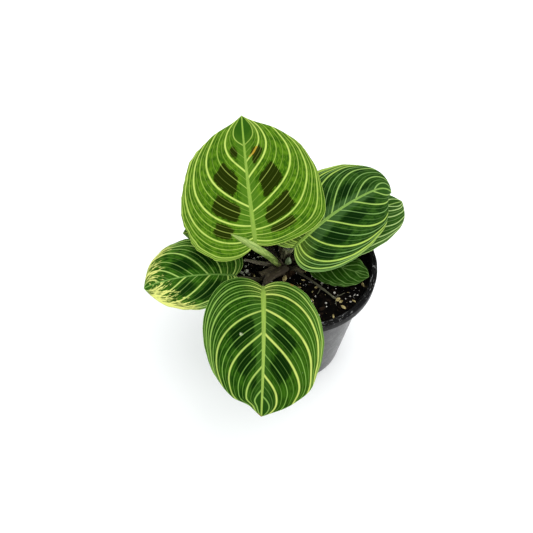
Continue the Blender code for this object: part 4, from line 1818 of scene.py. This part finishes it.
@dataclass
class Pot:
    """The round nursery pot: tapered wall, folded rim with a double lip, drain holes."""

    height: float = 95.0
    rim_radius: float = 54.0
    rim_band: float = 6.7
    lip_radius: float = 50.2
    body_radius: float = 48.3
    base_radius: float = 37.5
    wall: float = 1.2
    floor: float = 1.6
    sides: int = 160
    holes: int = 8
    hole_radius: float = 3.0
    hole_length: float = 14.0
    hole_height: float = 2.5
    hole_lean: float = 62.0
    crinkle: float = 0.3
    sharp: float = 50.0
    finish: PotFinish = PotFinish()

    def profile(self) -> list[Pair]:
        """The section: up outside, round the rim, down inside.

        Returns:
            Radius and height of each point.
        """
        foot, body, rim, lip, top = (
            self.base_radius, self.body_radius, self.rim_radius, self.lip_radius, self.height,
        )
        under, inner = top - self.rim_band, body - self.wall
        corners = [
            (AXIS, 0.0, 0.0), (foot - 4.0, 0.0, 0.0), (foot - 3.6, 0.5, 0.3), (foot - 1.6, 0.5, 0.3),
            (foot - 1.2, 0.0, 0.3), (foot, 0.0, 0.9), (foot + 0.9, 7.0, 0.3), (body, under - 2.0, 1.2),
            (body + 1.3, under + 1.2, 1.0), (body + 3.1, top - 2.4, 0.4), (rim - 1.3, top - 2.4, 0.2),
            (rim - 1.3, under, 0.2), (rim - 0.3, under, 0.3), (rim, top, 0.9), (rim - 2.0, top, 0.45),
            (rim - 2.2, top - 0.6, 0.2), (rim - 2.7, top - 0.1, 0.3), (lip, top - 0.2, 0.5),
            (lip - 1.0, top - 3.5, 0.8), (inner + 0.9, under + 0.5, 0.6), (inner, under - 2.0, 0.6),
            (foot - self.wall, self.floor, 0.8), (AXIS, self.floor, 0.0),
        ]
        line = []
        for k, (r, z, radius) in enumerate(corners):
            here = np.array([r, z])
            if radius == 0:
                line.append(here)
                continue
            start, end = (
                here + unit(corners[j][:2] - here) * min(radius, math.dist(corners[j][:2], here) * 0.45)
                for j in (k - 1, k + 1)
            )
            for t in (0.0, 0.33, 0.67, 1.0):
                line.append((1 - t) ** 2 * start + 2 * (1 - t) * t * here + t**2 * end)
        return line

    def drain_tool(self) -> bpy.types.Object:
        """The round bars that cut the drain holes."""
        tool = bmesh.new()
        shift = Matrix.Translation(((self.base_radius - 0.5) * MM, 0, self.hole_height * MM))
        lean = Matrix.Rotation(math.radians(self.hole_lean), 4, "Y")
        radius = self.hole_radius * MM
        for k in range(self.holes):
            at = Matrix.Rotation(math.tau * (k + 0.5) / self.holes, 4, "Z") @ shift @ lean
            bmesh.ops.create_cone(
                tool, cap_ends=True, segments=32, radius1=radius, radius2=radius,
                depth=self.hole_length * MM, matrix=at,
            )
        mesh = bpy.data.meshes.new("drain_tool")
        tool.to_mesh(mesh)
        tool.free()
        return linked("drain_tool", mesh)

    def build(self) -> list[bpy.types.Object]:
        """Makes the pot and cuts its drain holes.

        Returns:
            The piece, which stands for the solid pot.
        """
        profile = self.profile()
        points = revolved(profile, self.sides)
        top = step_up(points[:, 2], self.height - 1.6, self.height - 0.2)
        points = points + (self.crinkle * top * wobble(points, 4.0, 2))[:, None] * [0.6, 0.6, 1.0]
        form = Form()
        form.add(points, tube_faces(len(profile), self.sides))
        wall = self.finish.material("pot_plastic", 0.3, 0.22)
        # The rim and the inside faces take a shaded copy of the plastic, with little shine and no sheen, so
        # that they stay dark.
        rim = self.finish.material("pot_rim_shaded", 0.06, 0.0)
        pot = form.build("nursery_pot", [wall, rim], self.sharp)
        tool = self.drain_tool()
        cut = pot.modifiers.new("Drain", "BOOLEAN")
        cut.operation, cut.solver, cut.object = "DIFFERENCE", "EXACT", tool
        bpy.context.view_layer.update()
        shaped = pot.evaluated_get(bpy.context.evaluated_depsgraph_get())
        mesh = bpy.data.meshes.new_from_object(shaped)
        pot.modifiers.clear()
        pot.data = mesh
        clean(mesh, self.sharp)
        rim_shade_start = (self.height - self.rim_band - 0.1) * MM
        for face in mesh.polygons:
            inside = face.center.xy.dot(face.normal.xy) < 0
            face.material_index = inside or face.center.z > rim_shade_start
        bpy.data.objects.remove(tool, do_unlink=True)
        return [place(pot, "pot_plastic", "pot")]


@dataclass(frozen=True)
class Lamp:
    """A square lamp that faces the plant: place and side in metres, power in watts."""

    name: str
    at: Point
    side: float
    power: float


@dataclass
class Studio:
    """Pale floor, soft lights and the camera of the photograph."""

    focal: float = 700.0
    frame_width: float = 533.0
    sensor: float = 36.0
    elevation: float = 52.2
    roll: float = 1.9
    distance: float = 472.6
    aim: Point = (0.0, 0.0, 95.0)
    aim_pixel: Pair = (297.5, 261.7)
    clip: Pair = (0.01, 50.0)
    floor_half: float = 3.0
    floor_colour: tuple[float, ...] = (0.985, 0.99, 0.995, 1.0)
    world_colour: tuple[float, ...] = (0.98, 0.99, 1.0, 1.0)
    world_strength: float = 1.24
    lamp_aim: Point = (0.0, 0.0, 0.08)
    lamps: tuple[Lamp, ...] = (
        Lamp("key", (0.55, 0.15, 1.6), 1.2, 6.0),
        Lamp("side", (1.2, -0.15, 0.3), 0.7, 5.0),
    )

    def add_camera(self) -> None:
        """Adds the camera, placed by the pixel at which the middle of the rim shows."""
        tilt, spin = math.radians(self.elevation), math.radians(self.roll)
        forward = Vector((0, math.cos(tilt), -math.sin(tilt)))
        level, above = Vector((1, 0, 0)), Vector((0, math.sin(tilt), math.cos(tilt)))
        right = level * math.cos(spin) + above * math.sin(spin)
        up = above * math.cos(spin) - level * math.sin(spin)
        middle = self.frame_width / 2
        aside, over = ((pixel - middle) / self.focal * self.distance for pixel in self.aim_pixel)
        spot = Vector(self.aim) - forward * self.distance - right * aside + up * over
        data = bpy.data.cameras.new("camera")
        data.sensor_width = self.sensor
        data.lens = self.focal * self.sensor / self.frame_width
        data.clip_start, data.clip_end = self.clip
        camera = linked("camera", data)
        turn = Matrix((right, up, -forward)).transposed()
        camera.matrix_world = Matrix.Translation(spot * MM) @ turn.to_4x4()
        bpy.context.scene.camera = camera

    def add_lamp(self, lamp: Lamp) -> None:
        """Adds a lamp."""
        data = bpy.data.lights.new(lamp.name, "AREA")
        data.size, data.energy = lamp.side, lamp.power
        made = linked(lamp.name, data)
        made.location = lamp.at
        made.rotation_mode = "QUATERNION"
        made.rotation_quaternion = (Vector(self.lamp_aim) - Vector(lamp.at)).to_track_quat("-Z", "Y")

    def add_floor(self) -> None:
        """Adds the plain floor."""
        half = self.floor_half
        mesh = bpy.data.meshes.new("floor")
        corners = [(x * half, y * half, 0) for x, y in ((-1, -1), (1, -1), (1, 1), (-1, 1))]
        mesh.from_pydata(corners, [], [(0, 1, 2, 3)])
        made = Nodes("floor", 0.7, 0.2)
        made.shader.inputs["Base Color"].default_value = self.floor_colour
        mesh.materials.append(made.material)
        floor = linked("floor", mesh)

    def build(self) -> None:
        """Adds the floor, the world, the lamps and the camera."""
        self.add_floor()
        world = bpy.data.worlds.new("studio")
        world.use_nodes = True
        background = world.node_tree.nodes["Background"]
        background.inputs["Color"].default_value = self.world_colour
        background.inputs["Strength"].default_value = self.world_strength
        bpy.context.scene.world = world
        bpy.context.scene.view_settings.view_transform = "Standard"
        for lamp in self.lamps:
            self.add_lamp(lamp)
        self.add_camera()


BRIGHT_LEAF = LeafFinish(
    "leaf_bright", between=(44, 84, 6), light_lane=(85, 125, 21), by_midrib=(72, 112, 24), tip=(38, 80, 10),
    vein=(160, 186, 84), gold_vein=(186, 208, 102), midrib=(142, 178, 66), blotch=(29, 42, 0),
    blotch_vein=(146, 150, 70), blotch_edge=0.5, scorch=(176, 138, 38), midrib_foot=(130, 164, 58),
)
DARK_LEAF = LeafFinish(
    "leaf_dark", between=(12, 46, 1), light_lane=(40, 80, 8), by_midrib=(46, 82, 20), tip=(26, 62, 8),
    vein=(126, 164, 76), gold_vein=(180, 196, 98), midrib=(148, 178, 76), blotch=(6, 34, 0),
    blotch_vein=(110, 148, 66), fine_strength=0.5, sunny=(-0.020, 0.004), midrib_foot=(134, 166, 60),
)
RIGHT_LEAF = LeafFinish(
    "leaf_green", between=(12, 44, 3), light_lane=(40, 74, 16), by_midrib=(52, 82, 38), tip=(34, 68, 14),
    vein=(122, 158, 88), gold_vein=(164, 192, 84), midrib=(120, 158, 68), blotch=(5, 32, 1),
    blotch_vein=(100, 138, 74), vein_width=0.85, half_strength=0.9, fine_strength=0.3, blotch_edge=1.5,
    notch_glow=0.16,
)
FAR_LEAF = LeafFinish(
    "leaf_far", between=(24, 62, 6), light_lane=(44, 82, 17), by_midrib=(46, 80, 24), tip=(34, 68, 12),
    vein=(150, 180, 110), gold_vein=(176, 202, 124), midrib=(130, 164, 76), blotch=(8, 34, 1),
    blotch_vein=(110, 144, 76), half_strength=0.3, fine_strength=0.1,
)
LEFT_LEAF = LeafFinish(
    "leaf_mottled", between=(20, 58, 4), light_lane=(56, 102, 20), by_midrib=(40, 84, 14), tip=(44, 86, 20),
    vein=(160, 194, 102), gold_vein=(190, 214, 112), midrib=(124, 168, 74), blotch=(8, 40, 2),
    blotch_vein=(120, 154, 74), yellow=(218, 222, 124), vein_width=0.8, half_strength=0.6,
    fine_strength=0.2, blotch_edge=2.2, midrib_foot=(96, 140, 54),
)
LOW_LEAF = LeafFinish(
    "leaf_plain", between=(20, 50, 3), light_lane=(36, 70, 12), by_midrib=(32, 64, 11), tip=(30, 60, 10),
    vein=(102, 134, 70), gold_vein=(124, 156, 88), midrib=(84, 118, 50), blotch=(20, 50, 8),
    blotch_vein=(80, 112, 50), vein_width=0.6, half_strength=0.3, fine_strength=0.0,
    midrib_foot=(80, 112, 44),
)
# The front stalk's head, where it runs under the front blade, is painted dark as the blade's shadow.
SHEATH_SHADED_HEAD = StalkFinish(
    "petiole", foot=(58, 50, 38), head=(34, 32, 18), streak=(104, 96, 76), change=(0.5, 0.85),
    roughness=0.66,
)
BROWN_STALK = StalkFinish(
    "petiole_brown", foot=(36, 30, 21), head=(62, 62, 36), streak=(76, 70, 48), change=(0.3, 1.0),
    roughness=0.65,
)
STRIPED_STALK = StalkFinish(
    "petiole_striped", foot=(54, 50, 36), head=(82, 84, 58), streak=(176, 172, 138), change=(0.0, 0.6),
    roughness=0.6, ribs=13.0, streaks=(0.50, 0.62),
)

LEFT, RIGHT = Side.LEFT, Side.RIGHT
ROUND = Outline(
    lobe=(0.56, -0.26), side=(1.26, 0.28), shoulder=(0.79, 0.70), tip_reach=0.15, near_tip=(0.54, 0.89),
)
BROAD = Outline(
    lobe=(0.64, -0.26), side=(1.40, 0.25), shoulder=(0.76, 0.715), tip_reach=0.20, near_tip=(0.14, 0.933),
)

BACK = LeafShape(
    BROAD, (-28.0, -12.5, 127.0), heading=99, sway=-3, pitch=8, droop=-2, roll=-13, twist=5,
    length=108.5, widths=(46.5, 47.5), fold=5, cup=(14, 13), lobes=(1.1, 0.7),
    wave=0.3, waves=2.9, phase=0.1,
)
FRONT = LeafShape(
    ROUND, (-22.5, -32.0, 108.5), heading=-87, sway=-4, pitch=4, droop=-25, roll=-11, twist=-5,
    length=84.5, widths=(40.5, 39.5), fold=6, cup=(13, 11), lobes=(1.0, 0.9),
)
RIGHT_ONE = LeafShape(
    ROUND, (-3.5, -9.0, 121.0), heading=49, sway=-11, pitch=10, droop=-27, roll=21, twist=5,
    length=97.0, widths=(34.0, 35.0), fold=0, cup=(18, 24), hook=-38, crook=-29,
)
FAR_RIGHT = LeafShape(
    ROUND, (7.0, 9.5, 101.5), heading=38, sway=-6, pitch=5, droop=-16, roll=0, twist=-2,
    length=84.5, widths=(34.0, 31.0), fold=6, cup=(10, 8), hook=-7,
)
LOW = LeafShape(
    ROUND, (10.5, 1.0, 95.5), heading=-14, sway=-5, pitch=4, droop=-12, roll=5, twist=0,
    length=39.0, widths=(14.0, 16.5), fold=5, cup=(8, 9),
)
LEFT_ONE = LeafShape(
    ROUND, (-40.5, -19.0, 102.5), heading=180, sway=18, pitch=7, droop=-22, roll=-1, twist=-2,
    length=61.0, widths=(29.0, 31.0), fold=7, cup=(7, 5), hook=-7,
)
HIDDEN = LeafShape(
    ROUND, (-29.0, 17.0, 110.0), heading=189, sway=1, pitch=6, droop=-12, roll=0, twist=0,
    length=49.0, widths=(17.0, 18.0), fold=5, cup=(8, 8),
)

BACK_MARKS = Markings(
    left=(0.015, 0.062, 0.141, 0.268, 0.525, 0.738), right=(0.044, 0.113, 0.233, 0.478, 0.605, 0.742),
    left_bright=(0.5, 0.8, 0.95, 1.0, 1.0, 0.5), right_bright=(0.65, 0.8, 0.92, 1.0, 0.85, 0.4),
    inner=10.0, rib=(1.6, 0.5), bare_lanes=(1.0, 1.9),
    scorches=(
        Spot(RIGHT, 0.72, 1.0, 0.7), *(Spot(RIGHT, 0.605, 0.22 + 0.025 * step, 0.55) for step in range(11)),
    ),
    blotches=(
        Blotch(LEFT, 2, 0.16, 0.86, 0.17, 0.33), Blotch(LEFT, 3, 0.10, 0.82, 0.13, 0.40),
        Blotch(LEFT, 4, 0.05, 0.66, 0.18, 0.51), Blotch(LEFT, 5, 0.14, 0.58, 0.33, 0.55),
        Blotch(RIGHT, 1, 0.40, 0.90, 0.13, 0.32), Blotch(RIGHT, 2, 0.06, 0.70, 0.13, 0.40),
        Blotch(RIGHT, 3, 0.05, 0.66, 0.19, 0.47), Blotch(RIGHT, 4, 0.22, 1.0, 0.25, 0.54),
        Blotch(RIGHT, 5, 0.0, 0.26, 0.27, 0.46),
    ),
)
FRONT_MARKS = Markings(
    left=(0.03, 0.087, 0.211, 0.40, 0.705, 0.86), right=(0.052, 0.113, 0.223, 0.395, 0.645, 0.815),
    left_bright=(0.75, 1.05, 1.25, 1.15, 0.95, 0.45), right_bright=(0.6, 0.65, 0.8, 0.82, 0.75, 0.6),
    inner=9.5, rib=(1.75, 0.55),
    flecks=(
        Spot(RIGHT, 0.30, 0.35, 1.1), Spot(RIGHT, 0.53, 0.2, 0.55),
        Spot(LEFT, 0.33, 0.72, 0.35), Spot(LEFT, 0.45, 0.80, 0.3),
    ),
    scorches=(
        Spot(LEFT, 0.0, 0.27, 1.4), Spot(RIGHT, 0.93, 1.0, 1.0), Spot(LEFT, 0.9, 1.0, 0.7),
        *(Spot(RIGHT, 0.62 + 0.035 * step, 1.0, 0.35 + 0.05 * step) for step in range(9)),
    ),
    blotches=(
        Blotch(LEFT, 3, 0.26, 0.80, 0.17, 0.48), Blotch(LEFT, 4, 0.04, 0.72, 0.27, 0.58),
        Blotch(RIGHT, 3, 0.08, 0.80, 0.18, 0.50), Blotch(RIGHT, 4, 0.06, 0.74, 0.26, 0.58),
        Blotch(RIGHT, 5, 0.15, 0.50, 0.30, 0.55),
    ),
)
RIGHT_MARKS = Markings(
    left=(0.012, 0.032, 0.06, 0.14, 0.23, 0.372, 0.608, 0.80),
    right=(0.022, 0.06, 0.149, 0.31, 0.575, 0.78),
    left_bright=(0.9, 0.9, 0.95, 0.95, 0.85, 0.72, 0.7, 0.65),
    right_bright=(0.8, 0.95, 0.95, 0.88, 0.8, 0.75),
    rib=(1.2, 0.5),
    blotches=(
        Blotch(LEFT, 5, 0.40, 0.62, 0.25, 0.45), Blotch(LEFT, 6, 0.10, 0.68, 0.25, 0.48),
        Blotch(LEFT, 7, 0.10, 0.45, 0.30, 0.50), Blotch(RIGHT, 2, 0.10, 0.75, 0.20, 0.44),
        Blotch(RIGHT, 3, 0.06, 0.70, 0.19, 0.44), Blotch(RIGHT, 4, 0.06, 0.66, 0.21, 0.46),
        Blotch(RIGHT, 5, 0.05, 0.50, 0.28, 0.50),
    ),
)
FAR_MARKS = Markings(
    left=(0.08, 0.20, 0.36, 0.56, 0.78), right=(0.08, 0.19, 0.34, 0.52, 0.68, 0.82),
    left_bright=(0.8,) * 5, right_bright=(0.8,) * 6, inner=6.0,
)
PALE_MARKS = Markings(
    inner=8.0,
    blotches=tuple(
        Blotch(side, vein, 0.08, 0.70, near, far)
        for side in Side
        for vein, near, far in ((3, 0.18, 0.45), (4, 0.25, 0.5))
    ),
)
LOW_MARKS = Markings(
    left=(0.10, 0.26, 0.50, 0.74), right=(0.10, 0.26, 0.50, 0.74),
    left_bright=(0.4, 0.5, 0.5, 0.4), right_bright=(0.4, 0.5, 0.5, 0.4), inner=3.0, rib=(0.7, 0.3),
)
LEFT_MARKS = Markings(
    left=(0.04, 0.10, 0.28, 0.529, 0.76), right=(0.05, 0.165, 0.30, 0.60, 0.82),
    left_bright=(0.7, 0.8, 0.95, 0.9, 0.75), right_bright=(0.6, 0.65, 0.75, 0.7, 0.6),
    inner=4.0, rib=(0.75, 0.35),
    blotches=(
        Blotch(LEFT, 2, 0.10, 0.80, 0.15, 0.60), Blotch(LEFT, 3, 0.10, 0.75, 0.25, 0.58),
        Blotch(RIGHT, 2, 0.10, 0.80, 0.15, 0.50), Blotch(RIGHT, 3, 0.10, 0.75, 0.20, 0.52),
    ),
    yellow_left=(
        (0.0, 0.84), (0.1, 0.80), (0.3, 0.73), (0.5, 0.67), (0.62, 0.58), (0.72, 0.44), (0.80, 0.50),
        (0.88, 1.1), (1.0, 1.8),
    ),
    yellow_right=(
        (0.0, 1.1), (0.1, 0.97), (0.3, 0.91), (0.45, 0.86), (0.6, 0.79), (0.7, 0.66), (0.78, 0.52),
        (0.86, 0.9), (1.0, 1.8),
    ),
)

BLADES = (
    Blade(
        "back", BACK, BACK_MARKS, BRIGHT_LEAF, "leaf_bright", seed=2, rows=16, columns=36,
        ripple=0.6, ruffle=(2.2, 0.3),
        curls=(Curl(RIGHT, (12.9, 1.0), (64.9, 24.5), 24.0, 4.0),),
        pulls=(Pull(RIGHT, 0.37, 0.01, -0.113),),
    ),
    Blade(
        "front", FRONT, FRONT_MARKS, DARK_LEAF, "leaf_dark", seed=3, rows=16, columns=34,
        pulls=(
            Pull(RIGHT, 0.89, 0.94, 0.36), Pull(LEFT, 0.62, 0.86, -0.10), Pull(LEFT, 0.86, 0.97, -0.10),
        ),
    ),
    Blade("right", RIGHT_ONE, RIGHT_MARKS, RIGHT_LEAF, "leaf_dark", seed=4, rows=16, columns=34),
    Blade("far_right", FAR_RIGHT, FAR_MARKS, FAR_LEAF, "leaf_dark", seed=5),
    Blade(
        "low", LOW, LOW_MARKS, LOW_LEAF, "leaf_plain", seed=6,
        quilt=0.08, ripple=0.6, scallop=0.5, ruffle=(0.5, 0.6),
    ),
    Blade("left", LEFT_ONE, LEFT_MARKS, LEFT_LEAF, "leaf_dark", seed=7, rows=14, columns=32),
    Blade("hidden", HIDDEN, PALE_MARKS, DARK_LEAF, "leaf_dark", seed=8, quilt=0.1, ripple=0.2),
)

STALKS = (
    Stalk(
        "back", ((-14.2, 2.6, 92.9), (-21.5, -3.6, 111.0), (-27.9, -13.3, 121.4)), (1.5, 1.3, 1.2),
        BROWN_STALK, BACK,
    ),
    Stalk(
        "front", ((-10.4, -7.6, 95.2), (-18.0, -15.5, 97.6), (-21.8, -26.0, 102.6)), (3.3, 3.1, 1.5),
        SHEATH_SHADED_HEAD, FRONT, flat=0.6, hint=(0.7, -0.5, 0.2),
    ),
    Stalk(
        "right", ((-9.4, 5.4, 92.9), (-8.0, 1.0, 107.0), (-6.2, -8.2, 115.6)), (2.7, 2.1, 1.3),
        STRIPED_STALK, RIGHT_ONE,
    ),
    Stalk(
        "far_right", ((-3.0, 5.6, 92.6), (0.6, 7.0, 96.0), (4.2, 8.4, 99.2)), (1.7, 1.5, 1.4),
        BROWN_STALK, FAR_RIGHT,
    ),
    Stalk(
        "low", ((-1.0, -2.6, 92.6), (3.4, -1.0, 93.6), (7.6, 0.6, 94.8)), (1.2, 1.1, 1.0),
        BROWN_STALK, LOW,
    ),
    Stalk(
        "left", ((-16.2, -5.6, 92.6), (-24.0, -16.0, 95.6), (-36.0, -19.6, 100.8)), (1.7, 1.5, 1.3),
        BROWN_STALK, LEFT_ONE,
    ),
    Stalk(
        "hidden", ((-13.6, 5.8, 91.9), (-20.0, 12.0, 98.6), (-26.2, 16.4, 106.6)), (1.4, 1.3, 1.2),
        BROWN_STALK, HIDDEN,
    ),
)


def main() -> None:
    """Builds the studio and every piece of the plant in order, and logs each piece."""
    logging.basicConfig(level=logging.INFO, format="%(message)s")
    Studio().build()
    for part in (Pot(), Soil(), Crown(), *STALKS, *BLADES, RolledLeaf(), DryParts()):
        for piece in part.build():
            mesh = piece.data
            LOG.info("%s: %d vertices, %d faces", piece.name, len(mesh.vertices), len(mesh.polygons))
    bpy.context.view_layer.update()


if __name__ == "__main__":
    main()
